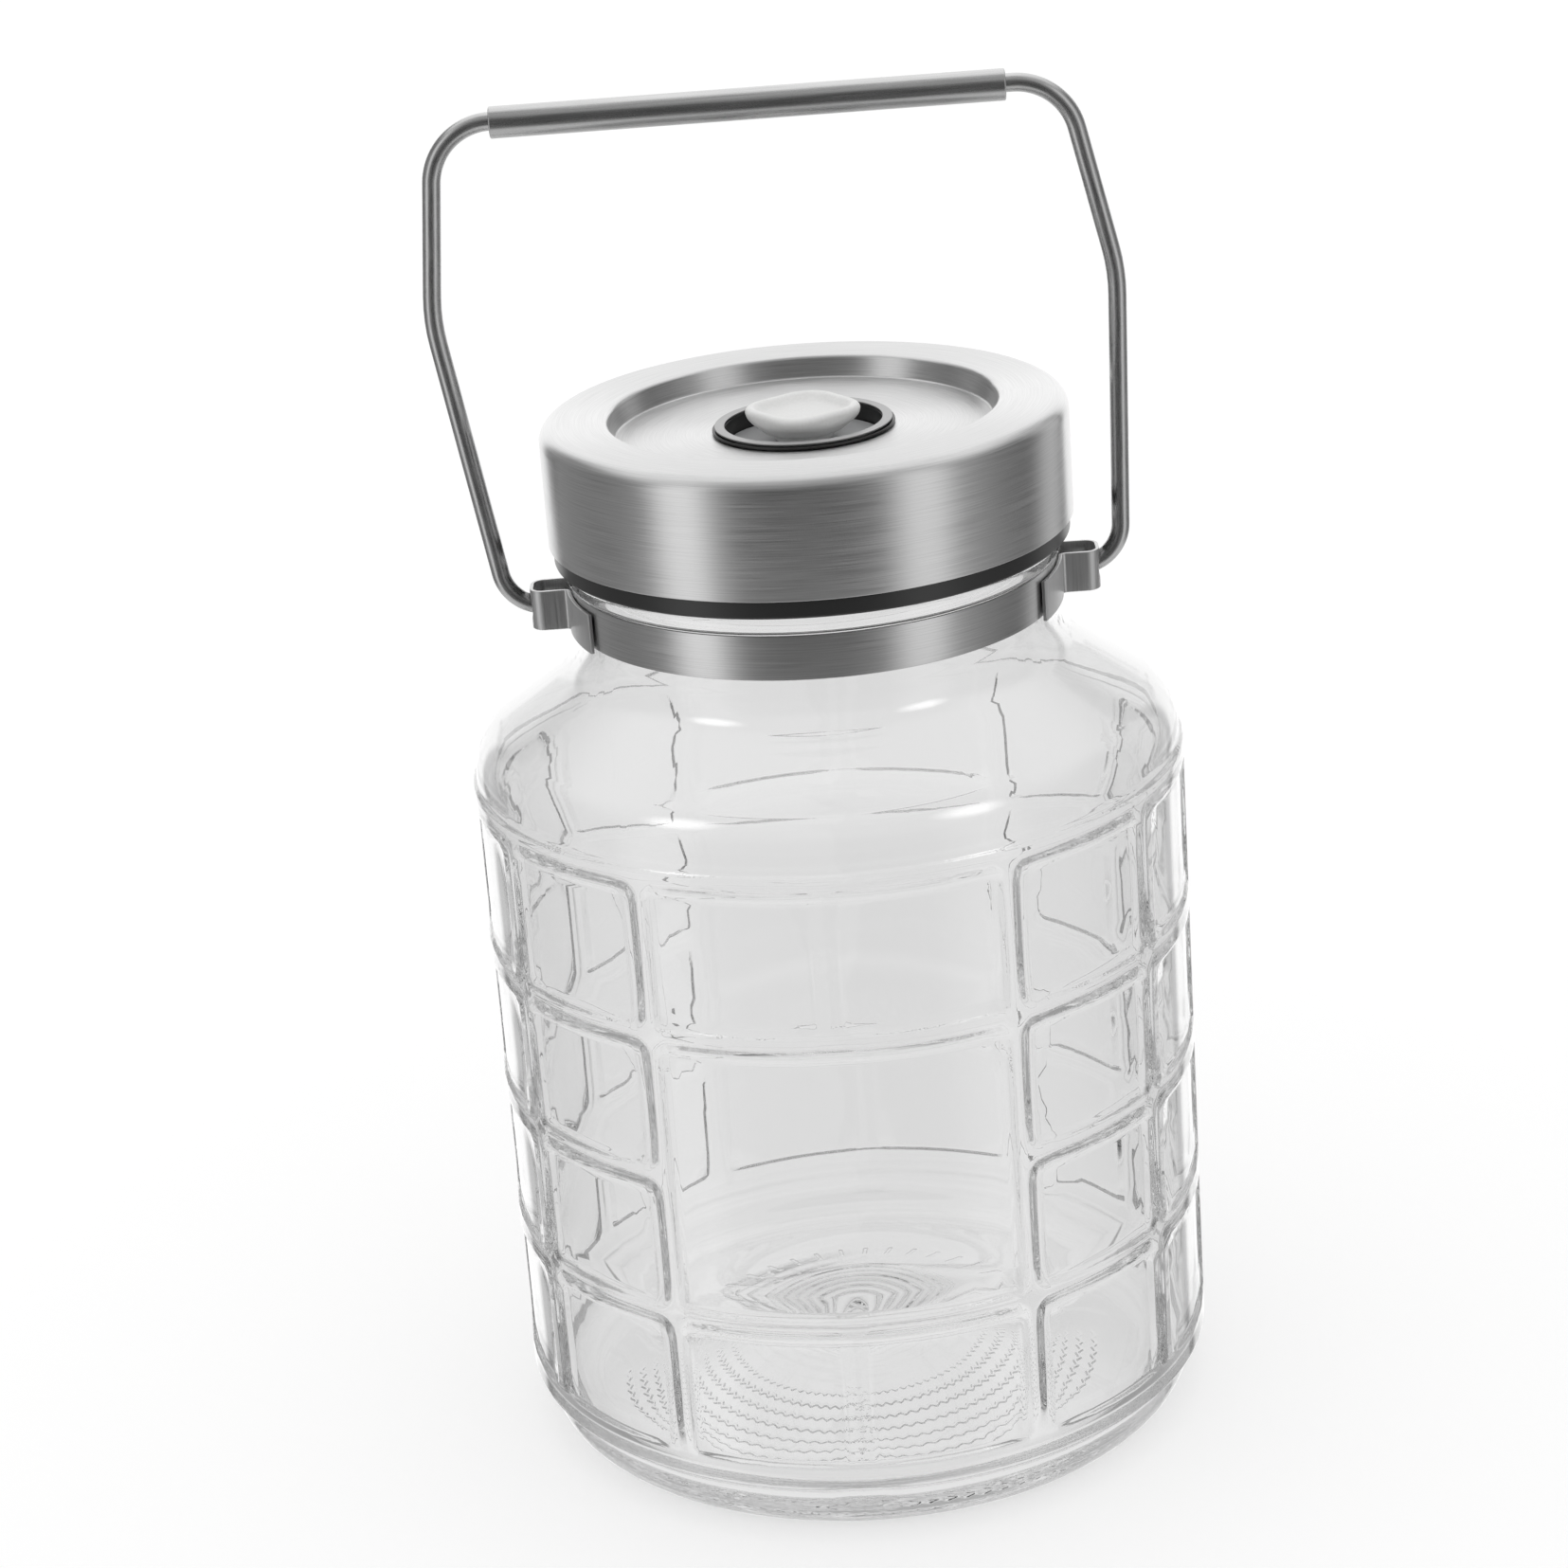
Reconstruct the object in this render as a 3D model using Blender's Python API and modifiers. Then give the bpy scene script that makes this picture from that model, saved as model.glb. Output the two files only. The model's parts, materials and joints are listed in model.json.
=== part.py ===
"""Glass fermentation jar with a screw lid, a burping valve and a wire bail.

Standalone Blender 4.5 script: run it with blender --background --python part.py
or from the text editor. Lengths are metres, +Z is up, the jar's axis is Z, the
front of the jar faces -Y and the origin is the middle of its standing face.
"""

import math

import bmesh
import bpy
from mathutils import Matrix, Vector

# Shared fits
SEAT_GAP = 0.0003
CUT_OVERRUN = 0.002
MERGE_DISTANCE = 0.00001

# Glass body
BODY_RADIUS = 0.0753
GLASS_WALL = 0.0038
BASE_THICKNESS = 0.0055
PUSH_UP_HEIGHT = 0.0131
STANDING_WIDTH = 0.0049
HEEL_INSET = 0.0024
HEEL_RADIUS = 0.0080
INNER_CORNER_RADIUS = 0.0135

# Embossed lattice on the glass
RIB_WIDTH = 0.0066
RIB_PROUD = 0.00085
RIB_CREST_SHARE = 0.36
RIB_ROOT_DEPTH = 0.0018
RIB_SINK = 0.0001
BASE_RING_HEIGHT = 0.0157
LOWER_ROW = 0.0342
MIDDLE_ROW = 0.03195
UPPER_ROW = 0.0347
LATTICE_COLUMNS = 12
LATTICE_TURN = math.radians(-2.5)

# Shoulder and neck
SHOULDER_RISE = 0.0035
SHOULDER_RADIUS = 0.0132
SHOULDER_SLOPE = math.radians(34.3)
NECK_STEP = 0.0006
NECK_FILLET = 0.0090

# Steel strip round the neck
BAND_RISE = 0.0030
BAND_HEIGHT = 0.00935
BAND_WALL = 0.00055

# Jar finish: bead, thread and sealing rim
BEAD_REACH = 0.0025
BEAD_HEIGHT = 0.00385
BEAD_ROUNDING = 0.0012
FINISH_RADIUS = 0.0498
FINISH_HEIGHT = 0.0248
RIM_ROUNDING = 0.0008
THREAD_PITCH = 0.0060
THREAD_RIDGE_RADIUS = 0.00145
THREAD_PROUD = 0.0016
THREAD_START = 0.0075
JAR_THREAD_TURNS = 1.4

# Lid
SHELL_WALL = 0.0005
SHELL_HEIGHT = 0.0251
LID_EDGE_RADIUS = 0.0040
LID_RIM_WIDTH = 0.01435
RECESS_DEPTH = 0.0047
RECESS_TAPER = 0.0012
RECESS_LIP_RADIUS = 0.0010
LINER_FIT = 0.0004
LINER_SKIRT_WALL = 0.0023
LINER_PLATE = 0.0014
LINER_STEP_WALL = 0.0015
LINER_LEAD_IN = 0.0004
THREAD_ROOM = 0.0022
LINER_THREAD_PROUD = 0.0014
LINER_THREAD_TURNS = 1.1
GASKET_THICKNESS = 0.0017
GASKET_OVERHANG = 0.0015

# Valve in the middle of the lid
CUP_BORE = 0.0165
CUP_WALL = 0.0009
CUP_FLANGE_REACH = 0.0017
CUP_FLANGE_THICKNESS = 0.0005
CUP_DEPTH = 0.00415
CUP_FLOOR = 0.0015
TRIM_THICKNESS = 0.00035
TRIM_WIDTH = 0.0021
DISC_THICKNESS = 0.0006
NUT_REACH = 0.0045
NUT_THICKNESS = 0.0018
VALVE_GASKET_THICKNESS = 0.0007
KNOB_HUB_RADIUS = 0.0062
KNOB_HUB_HEIGHT = 0.0019
KNOB_BASE_RADIUS = 0.0084
KNOB_TOP_RADIUS = 0.0112
KNOB_LOBE = 0.0008
KNOB_HEIGHT = 0.0070
KNOB_RIM_WIDTH = 0.0016
KNOB_DISH_DEPTH = 0.0012
KNOB_TURN = math.radians(-10.0)
KNOB_LOBES = 4
STEM_RADIUS = 0.0028
STEM_CLEARANCE = 0.0008
STEM_FOOT_REACH = 0.0014
STEM_FOOT_THICKNESS = 0.0009
KEEPER_REACH = 0.0035
KEEPER_THICKNESS = 0.0016
VALVE_TRAVEL = 0.0035

# Bail: wire, grip tube and the ears it swings in
WIRE_RADIUS = 0.0019
BAIL_HEIGHT = 0.1029
KINK_HEIGHT = 0.0628
FOOT_REACH = 0.00465
KINK_REACH = 0.01045
TOP_REACH = 0.00385
BAIL_LEAN = 0.00675
FOOT_BEND_RADIUS = 0.0090
KINK_BEND_RADIUS = 0.0400
TOP_BEND_RADIUS = 0.0130
WIRE_END_GAP = 0.0025
GRIP_END_GAP = 0.01175
GRIP_RADIUS = 0.00325
GRIP_BORE_RADIUS = 0.0025
EAR_REACH = 0.0089
EAR_WIDTH = 0.0092
EAR_HEIGHT = 0.0086
EAR_STRIP = 0.0008
EAR_DROP = 0.0012
EAR_CORNER_RADIUS = 0.0026
EAR_ROOT_RADIUS = 0.0012
EAR_FLANGE_ANGLE = math.radians(26.0)
EAR_HOLE_CLEARANCE = 0.00035

# Facet counts
BODY_STEPS = 48
SMALL_STEPS = 32
GRIP_STEPS = 24
ARC_POINTS = 4
THREAD_POINTS_PER_TURN = 30
KNOB_POINTS = 40

# Heights worked out from the stack
RING_HEIGHTS = [
    BASE_RING_HEIGHT,
    BASE_RING_HEIGHT + LOWER_ROW,
    BASE_RING_HEIGHT + LOWER_ROW + MIDDLE_ROW,
    BASE_RING_HEIGHT + LOWER_ROW + 2 * MIDDLE_ROW,
    BASE_RING_HEIGHT + LOWER_ROW + 2 * MIDDLE_ROW + UPPER_ROW,
]
WINDOW_RING_HEIGHT = RING_HEIGHTS[2]
NECK_RADIUS = FINISH_RADIUS + NECK_STEP
BEAD_RADIUS = FINISH_RADIUS + BEAD_REACH
SHOULDER_CENTRE = (BODY_RADIUS - SHOULDER_RADIUS, RING_HEIGHTS[-1] + SHOULDER_RISE)
SLOPE_NORMAL = (math.sin(SHOULDER_SLOPE), math.cos(SHOULDER_SLOPE))
SLOPE_FOOT = (
    SHOULDER_CENTRE[0] + SHOULDER_RADIUS * SLOPE_NORMAL[0],
    SHOULDER_CENTRE[1] + SHOULDER_RADIUS * SLOPE_NORMAL[1],
)
FILLET_CENTRE_RADIUS = NECK_RADIUS + NECK_FILLET
SLOPE_HEAD_RADIUS = FILLET_CENTRE_RADIUS - NECK_FILLET * SLOPE_NORMAL[0]
SLOPE_HEAD_HEIGHT = SLOPE_FOOT[1] + (SLOPE_FOOT[0] - SLOPE_HEAD_RADIUS) * math.tan(SHOULDER_SLOPE)
NECK_START = SLOPE_HEAD_HEIGHT + NECK_FILLET * SLOPE_NORMAL[1]
BAND_BOTTOM = NECK_START + BAND_RISE
BAND_TOP = BAND_BOTTOM + BAND_HEIGHT
BAND_INNER_RADIUS = NECK_RADIUS + SEAT_GAP
BAND_OUTER_RADIUS = BAND_INNER_RADIUS + BAND_WALL
BEAD_BOTTOM = BAND_TOP + SEAT_GAP
BEAD_TOP = BEAD_BOTTOM + BEAD_HEIGHT
RIM_HEIGHT = BEAD_TOP + FINISH_HEIGHT
BORE_RADIUS = NECK_RADIUS - GLASS_WALL

GASKET_BOTTOM = RIM_HEIGHT + SEAT_GAP
LINER_CEILING = GASKET_BOTTOM + GASKET_THICKNESS + SEAT_GAP
LINER_TOP = LINER_CEILING + LINER_PLATE
LINER_BOTTOM = BEAD_TOP + SEAT_GAP
LID_TOP = LINER_TOP + SEAT_GAP + SHELL_WALL
SHELL_BOTTOM = LID_TOP - SHELL_HEIGHT
RECESS_FLOOR = LID_TOP - RECESS_DEPTH
LINER_BORE = FINISH_RADIUS + THREAD_ROOM
LINER_RADIUS = LINER_BORE + LINER_SKIRT_WALL
LID_RADIUS = LINER_RADIUS + LINER_FIT + SHELL_WALL
RECESS_RADIUS = LID_RADIUS - LID_RIM_WIDTH

CUP_RADIUS = CUP_BORE + CUP_WALL
CUP_HOLE_RADIUS = CUP_RADIUS + LINER_FIT
CUP_FLANGE_BOTTOM = RECESS_FLOOR + SEAT_GAP
CUP_TOP = CUP_FLANGE_BOTTOM + CUP_FLANGE_THICKNESS
CUP_FLOOR_TOP = CUP_TOP - CUP_DEPTH
CUP_BOTTOM = CUP_FLOOR_TOP - CUP_FLOOR
DISC_BOTTOM = CUP_FLOOR_TOP + SEAT_GAP
DISC_TOP = DISC_BOTTOM + DISC_THICKNESS
KNOB_BOTTOM = DISC_TOP + SEAT_GAP
KNOB_TOP = KNOB_BOTTOM + KNOB_HEIGHT
KEEPER_TOP = CUP_BOTTOM - VALVE_TRAVEL - SEAT_GAP
KEEPER_BOTTOM = KEEPER_TOP - KEEPER_THICKNESS
LINER_CENTRE_TOP = RECESS_FLOOR - SHELL_WALL - SEAT_GAP
LINER_CENTRE_BOTTOM = LINER_CENTRE_TOP - LINER_PLATE

PIVOT_HEIGHT = BAND_BOTTOM + BAND_HEIGHT / 2 - EAR_DROP
EAR_FACE = BAND_OUTER_RADIUS + EAR_REACH
FOOT_HALF_WIDTH = EAR_FACE + FOOT_REACH
KINK_HALF_WIDTH = EAR_FACE + KINK_REACH
TOP_HALF_WIDTH = EAR_FACE + TOP_REACH
GRIP_LENGTH = 2 * (TOP_HALF_WIDTH - GRIP_END_GAP)
GRIP_DROP = GRIP_BORE_RADIUS - WIRE_RADIUS - SEAT_GAP


def clear_scene():
    """Remove every object that the file opened with."""
    for scene_object in list(bpy.data.objects):
        bpy.data.objects.remove(scene_object, do_unlink=True)


def new_collection(name):
    """Make a collection and link it to the scene."""
    collection = bpy.data.collections.new(name)
    bpy.context.scene.collection.children.link(collection)
    return collection


def new_material(name, colour, roughness, metallic=0.0, transmission=0.0):
    """Make a plain Principled material."""
    material = bpy.data.materials.new(name)
    material.use_nodes = True
    shader = material.node_tree.nodes["Principled BSDF"]
    shader.inputs["Base Color"].default_value = (*colour, 1.0)
    shader.inputs["Roughness"].default_value = roughness
    shader.inputs["Metallic"].default_value = metallic
    shader.inputs["Transmission Weight"].default_value = transmission
    return material


def link_object(name, data, collection, material=None):
    """Put mesh or curve data in the scene as one object."""
    made = bpy.data.objects.new(name, data)
    collection.objects.link(made)
    if material is not None:
        data.materials.append(material)
    return made


def smooth(mesh_object):
    """Shade the round faces smooth and keep the edges between flats."""
    mesh_object.data.shade_smooth()
    mesh_object.data.set_sharp_from_angle(angle=math.radians(35.0))


def hide_cutter(cutter):
    """Show a cutter as wire and keep it out of renders and of the build."""
    cutter.hide_render = True
    cutter.display_type = "WIRE"


def arc(centre, radius, start_angle, end_angle, count=ARC_POINTS):
    """Points along an arc, both ends included."""
    points = []
    for index in range(count + 1):
        angle = start_angle + (end_angle - start_angle) * index / count
        points.append((centre[0] + radius * math.cos(angle), centre[1] + radius * math.sin(angle)))
    return points


def dome(edge_radius, edge_height, count=6):
    """Points of the push-up's shallow dome from its edge up to its middle, evenly spaced along the radius.
    height = edge height + push-up height * (1 - (radius / edge radius) ** 2)."""
    points = []
    for index in range(count + 1):
        share = 1.0 - index / count
        points.append((edge_radius * share, edge_height + PUSH_UP_HEIGHT * (1.0 - share ** 2)))
    return points


def rib_section():
    """Offsets across a rib and how proud the rib stands there, from edge to edge."""
    edge = RIB_WIDTH / 2
    crest = edge * RIB_CREST_SHARE
    return [(-edge, 0.0), (-crest, RIB_PROUD), (crest, RIB_PROUD), (edge, 0.0)]


def profile_mesh(name, profile, closed):
    """A chain of edges in the XZ plane, for a Screw modifier to turn."""
    mesh = bpy.data.meshes.new(name)
    vertices = [(x, 0.0, z) for x, z in profile]
    edges = [(index, index + 1) for index in range(len(profile) - 1)]
    if closed:
        edges.append((len(profile) - 1, 0))
    mesh.from_pydata(vertices, edges, [])
    return mesh


def turned(name, profile, collection, material=None, steps=BODY_STEPS, closed=True):
    """Turn a profile round Z. It runs down the outer side, top to bottom."""
    made = link_object(name, profile_mesh(name, profile, closed), collection, material)
    screw = made.modifiers.new("Turn", "SCREW")
    screw.axis = "Z"
    screw.steps = steps
    screw.render_steps = steps
    screw.use_merge_vertices = True
    screw.merge_threshold = MERGE_DISTANCE
    return made


def add_boolean(target, tool, operation):
    """Join or cut target with tool, as a live modifier."""
    boolean = target.modifiers.new(operation.title() + " " + tool.name, "BOOLEAN")
    boolean.operation = operation
    boolean.solver = "EXACT"
    boolean.object = tool
    return boolean


def curve_to_mesh(curve_object, collection):
    """Replace a curve object by its mesh, with the caps welded on."""
    bpy.context.view_layer.update()
    evaluated = curve_object.evaluated_get(bpy.context.evaluated_depsgraph_get())
    mesh = bpy.data.meshes.new_from_object(evaluated)
    builder = bmesh.new()
    builder.from_mesh(mesh)
    bmesh.ops.remove_doubles(builder, verts=builder.verts, dist=MERGE_DISTANCE)
    bmesh.ops.recalc_face_normals(builder, faces=builder.faces)
    builder.to_mesh(mesh)
    builder.free()
    name = curve_object.name
    placed = curve_object.matrix_world.copy()
    bpy.data.objects.remove(curve_object, do_unlink=True)
    made = bpy.data.objects.new(name, mesh)
    made.matrix_world = placed
    collection.objects.link(made)
    return made


def wire(name, points, radius, collection, material=None, resolution=4):
    """A round wire along points, with flat closed ends, as a mesh."""
    curve = bpy.data.curves.new(name, "CURVE")
    curve.dimensions = "3D"
    curve.bevel_depth = radius
    curve.bevel_resolution = resolution
    curve.use_fill_caps = True
    spline = curve.splines.new("POLY")
    spline.points.add(len(points) - 1)
    for point, place in zip(spline.points, points):
        point.co = (*place, 1.0)
    return curve_to_mesh(link_object(name, curve, collection, material), collection)


def plate(name, outline, thickness, collection, material=None):
    """A flat outline in XY, thickened evenly to both sides of its plane."""
    curve = bpy.data.curves.new(name, "CURVE")
    curve.dimensions = "2D"
    curve.fill_mode = "BOTH"
    curve.extrude = thickness / 2
    spline = curve.splines.new("POLY")
    spline.points.add(len(outline) - 1)
    for point, place in zip(spline.points, outline):
        point.co = (place[0], place[1], 0.0, 1.0)
    spline.use_cyclic_u = True
    return curve_to_mesh(link_object(name, curve, collection, material), collection)


def rounded_path(corners, count=6):
    """Corners given as (x, y, bend radius), with each bend drawn as an arc."""
    points = [Vector(corners[0][:2])]
    for before, corner, after in zip(corners, corners[1:], corners[2:]):
        at = Vector(corner[:2])
        inward = (Vector(before[:2]) - at).normalized()
        outward = (Vector(after[:2]) - at).normalized()
        if corner[2] == 0:
            points.append(at)
            continue
        half_angle = inward.angle(outward) / 2
        reach = corner[2] / math.tan(half_angle)
        centre = at + (inward + outward).normalized() * corner[2] / math.sin(half_angle)
        first = at + inward * reach - centre
        sweep = first.angle_signed(at + outward * reach - centre)
        for index in range(count + 1):
            points.append(centre + Matrix.Rotation(-sweep * index / count, 2) @ first)
    points.append(Vector(corners[-1][:2]))
    return points


def strip_outline(path, thickness):
    """The outline of a strip that follows a path, half its thickness to each side."""
    left = []
    right = []
    for index, point in enumerate(path):
        before = path[max(index - 1, 0)]
        after = path[min(index + 1, len(path) - 1)]
        along = (after - before).normalized()
        across = Vector((-along.y, along.x)) * thickness / 2
        left.append(point + across)
        right.append(point - across)
    return left + right[::-1]


def helix(radius, start_height, turns, start_turn=0.0):
    """Points of a right-hand thread that climbs one pitch a turn."""
    count = int(turns * THREAD_POINTS_PER_TURN)
    points = []
    for index in range(count + 1):
        turn = start_turn + turns * index / count
        angle = 2.0 * math.pi * turn
        height = start_height + THREAD_PITCH * turn
        points.append((radius * math.cos(angle), radius * math.sin(angle), height))
    return points


def shoulder_profile(inward, count=ARC_POINTS):
    """The neck, its fillet, the sloping shoulder and its round, set in by inward."""
    fillet = arc((FILLET_CENTRE_RADIUS, NECK_START), NECK_FILLET + inward,
                 math.pi, math.pi + math.pi / 2 - SHOULDER_SLOPE, count)
    round_over = arc(SHOULDER_CENTRE, SHOULDER_RADIUS - inward,
                     math.pi / 2 - SHOULDER_SLOPE, 0.0, count + 1)
    return fillet + round_over


def jar_outer_profile():
    """The glass from the middle of its mouth down the outside to the middle of its base."""
    profile = [(0.0, RIM_HEIGHT)]
    profile += arc((FINISH_RADIUS - RIM_ROUNDING, RIM_HEIGHT - RIM_ROUNDING), RIM_ROUNDING,
                   math.pi / 2, 0.0, 2)
    profile.append((FINISH_RADIUS, BEAD_TOP))
    profile += arc((BEAD_RADIUS - BEAD_ROUNDING, BEAD_TOP - BEAD_ROUNDING), BEAD_ROUNDING,
                   math.pi / 2, 0.0, 2)
    profile += arc((BEAD_RADIUS - BEAD_ROUNDING, BEAD_BOTTOM + BEAD_ROUNDING), BEAD_ROUNDING,
                   0.0, -math.pi / 2, 2)
    profile.append((NECK_RADIUS, BEAD_BOTTOM))
    profile += shoulder_profile(0.0)
    for height in reversed(RING_HEIGHTS):
        if height == WINDOW_RING_HEIGHT:
            continue
        for across, proud in rib_section():
            profile.append((BODY_RADIUS + proud, height - across))
    heel_centre = (BODY_RADIUS - HEEL_INSET - HEEL_RADIUS, HEEL_RADIUS)
    profile += arc(heel_centre, HEEL_RADIUS, 0.0, -math.pi / 2)
    profile += dome(heel_centre[0] - STANDING_WIDTH, 0.0)
    return profile


def jar_cavity_profile():
    """The hollow of the jar from above the mouth down to the middle of its floor."""
    corner_centre = (BODY_RADIUS - GLASS_WALL - INNER_CORNER_RADIUS,
                     BASE_THICKNESS + INNER_CORNER_RADIUS)
    profile = [(0.0, RIM_HEIGHT + CUT_OVERRUN), (BORE_RADIUS, RIM_HEIGHT + CUT_OVERRUN)]
    profile += shoulder_profile(GLASS_WALL, 3)
    profile += arc(corner_centre, INNER_CORNER_RADIUS, 0.0, -math.pi / 2)[:-1]
    profile += dome(corner_centre[0], BASE_THICKNESS)
    return profile


def upright_rib(name, angle, low, high, cutters):
    """One upright rib of the lattice, its root buried in the wall."""
    outline = [(BODY_RADIUS - RIB_ROOT_DEPTH, -RIB_WIDTH / 2)]
    outline += [(BODY_RADIUS + proud - RIB_SINK, across) for across, proud in rib_section()]
    outline.append((BODY_RADIUS - RIB_ROOT_DEPTH, RIB_WIDTH / 2))
    rib = plate(name, outline, high - low, cutters)
    rib.data.transform(Matrix.Rotation(angle, 4, "Z") @ Matrix.Translation((0.0, 0.0, (low + high) / 2)))
    return rib


def join_meshes(name, pieces, collection):
    """Join separate cutters that don't touch into one cutter."""
    builder = bmesh.new()
    for piece in pieces:
        builder.from_mesh(piece.data)
        bpy.data.objects.remove(piece, do_unlink=True)
    mesh = bpy.data.meshes.new(name)
    builder.to_mesh(mesh)
    builder.free()
    return link_object(name, mesh, collection)


def lattice_uprights(cutters):
    """The upright ribs. The two over the front and back windows stop at the windows."""
    pieces = []
    for column in range(LATTICE_COLUMNS):
        angle = 2.0 * math.pi * column / LATTICE_COLUMNS - math.pi / 2
        over_window = column % (LATTICE_COLUMNS // 2) == 0
        spans = [(RING_HEIGHTS[0], RING_HEIGHTS[-1])]
        if over_window:
            spans = [(RING_HEIGHTS[0], RING_HEIGHTS[1]), (RING_HEIGHTS[-2], RING_HEIGHTS[-1])]
        for low, high in spans:
            pieces.append(upright_rib("upright_rib", angle, low, high, cutters))
    return join_meshes("lattice_uprights", pieces, cutters)


def window_ring(cutters):
    """The middle ring of the lattice, left out across the front and back windows."""
    height = WINDOW_RING_HEIGHT
    root = BODY_RADIUS - RIB_ROOT_DEPTH
    profile = [(root, height + RIB_WIDTH / 2)]
    profile += [(BODY_RADIUS + proud, height - across) for across, proud in rib_section()]
    profile.append((root, height - RIB_WIDTH / 2))
    ring = turned("window_ring", profile, cutters)
    bpy.ops.mesh.primitive_cube_add(size=1.0, location=(0.0, 0.0, height))
    gap = bpy.context.active_object
    gap.name = "window_gap"
    window_half_angle = 2.0 * math.pi / LATTICE_COLUMNS
    reach = 2 * (BODY_RADIUS + RIB_PROUD + CUT_OVERRUN)
    gap.data.transform(Matrix.Diagonal((2 * BODY_RADIUS * math.sin(window_half_angle), reach,
                                        RIB_WIDTH + 2 * CUT_OVERRUN, 1.0)))
    for old in list(gap.users_collection):
        old.objects.unlink(gap)
    cutters.objects.link(gap)
    add_boolean(ring, gap, "DIFFERENCE")
    return ring, gap


def make_jar_body(parts, cutters, glass):
    """The jar: turned glass, raised lattice, screw thread, then the hollow."""
    jar = turned("jar_body", jar_outer_profile(), parts, glass, closed=False)
    uprights = lattice_uprights(cutters)
    ring, gap = window_ring(cutters)
    thread_radius = FINISH_RADIUS + THREAD_PROUD - THREAD_RIDGE_RADIUS
    thread = wire("jar_thread", helix(thread_radius, BEAD_TOP + THREAD_START, JAR_THREAD_TURNS),
                  THREAD_RIDGE_RADIUS, cutters, resolution=2)
    hollow = turned("jar_hollow", jar_cavity_profile(), cutters, closed=False)
    for tool, operation in ((uprights, "UNION"), (ring, "UNION"), (thread, "UNION"),
                            (hollow, "DIFFERENCE")):
        add_boolean(jar, tool, operation)
    for tool in (uprights, ring, gap, thread, hollow):
        hide_cutter(tool)
        tool.parent = jar
    jar.rotation_euler = (0.0, 0.0, LATTICE_TURN)
    return jar


def ring_profile(inner, outer, low, high):
    """A rectangular ring's section, its outer side first."""
    return [(outer, high), (outer, low), (inner, low), (inner, high)]


def make_neck_band(parts, steel):
    """The steel strip that hugs the neck below the bead."""
    return turned("neck_band", ring_profile(BAND_INNER_RADIUS, BAND_OUTER_RADIUS, BAND_BOTTOM, BAND_TOP),
                  parts, steel)


def foot_offset():
    """How far the wire has climbed from the pivot axis where it leaves an ear."""
    most = 0.0
    for side in (-1.0, 1.0):
        kink_lean = BAIL_LEAN * KINK_HEIGHT / BAIL_HEIGHT
        arm = Vector((KINK_HALF_WIDTH - side * kink_lean - FOOT_HALF_WIDTH, KINK_HEIGHT))
        half_angle = arm.angle(Vector((-1.0, 0.0))) / 2
        bend_start = FOOT_HALF_WIDTH - FOOT_BEND_RADIUS / math.tan(half_angle)
        along = min(max(EAR_FACE - bend_start, 0.0), FOOT_BEND_RADIUS)
        most = max(most, FOOT_BEND_RADIUS - math.sqrt(FOOT_BEND_RADIUS ** 2 - along ** 2))
    return most


def ear_path():
    """The middle line of an ear's strip: flange, front wall, outer end, back wall, flange."""
    flange_radius = BAND_OUTER_RADIUS + SEAT_GAP + EAR_STRIP / 2
    wall = (EAR_WIDTH - EAR_STRIP) / 2
    root = math.sqrt(flange_radius ** 2 - wall ** 2)
    root_angle = math.asin(wall / flange_radius)
    start_angle = root_angle + 2.0 * EAR_ROOT_RADIUS / flange_radius
    face = EAR_FACE - EAR_STRIP / 2
    count = 5
    corners = []
    for index in range(count + 1):
        angle = EAR_FLANGE_ANGLE + (start_angle - EAR_FLANGE_ANGLE) * index / count
        corners.append((flange_radius * math.cos(angle), -flange_radius * math.sin(angle), 0))
    corners.append((root, -wall, EAR_ROOT_RADIUS))
    corners.append((face, -wall, EAR_CORNER_RADIUS))
    mirrored = [(x, -y, bend) for x, y, bend in reversed(corners)]
    return rounded_path(corners + mirrored, 4)


def make_ear(name, side, parts, cutters, steel):
    """A bent strip welded to the band. Its outer end has the hole for the wire."""
    outline = strip_outline(ear_path(), EAR_STRIP)
    ear = plate(name, outline, EAR_HEIGHT, parts, steel)
    ear.data.transform(Matrix.Translation((0.0, 0.0, PIVOT_HEIGHT)))
    hole_radius = foot_offset() + WIRE_RADIUS + EAR_HOLE_CLEARANCE
    builder = bmesh.new()
    bmesh.ops.create_cone(builder, cap_ends=True, segments=SMALL_STEPS // 2, radius1=hole_radius,
                          radius2=hole_radius, depth=2 * (EAR_STRIP + CUT_OVERRUN))
    turn = Matrix.Rotation(math.pi / 2, 4, "Y")
    bmesh.ops.transform(builder, verts=builder.verts,
                        matrix=Matrix.Translation((EAR_FACE, 0.0, PIVOT_HEIGHT)) @ turn)
    mesh = bpy.data.meshes.new(name + "_hole")
    builder.to_mesh(mesh)
    builder.free()
    hole = link_object(name + "_hole", mesh, cutters)
    hide_cutter(hole)
    hole.parent = ear
    add_boolean(ear, hole, "DIFFERENCE")
    if side < 0:
        ear.rotation_euler = (0.0, 0.0, math.pi)
    return ear


def bail_corners():
    """Corners of the bail seen from the front: foot, kink and top on each side."""
    end = BAND_OUTER_RADIUS + WIRE_END_GAP
    half = [
        (end, 0.0, 0),
        (FOOT_HALF_WIDTH, 0.0, FOOT_BEND_RADIUS),
        (KINK_HALF_WIDTH, KINK_HEIGHT, KINK_BEND_RADIUS),
        (TOP_HALF_WIDTH, BAIL_HEIGHT, TOP_BEND_RADIUS),
    ]
    left = [(-x, z, bend) for x, z, bend in half]
    corners = left + half[::-1]
    return [(x - BAIL_LEAN * z / BAIL_HEIGHT, z, bend) for x, z, bend in corners]


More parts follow.
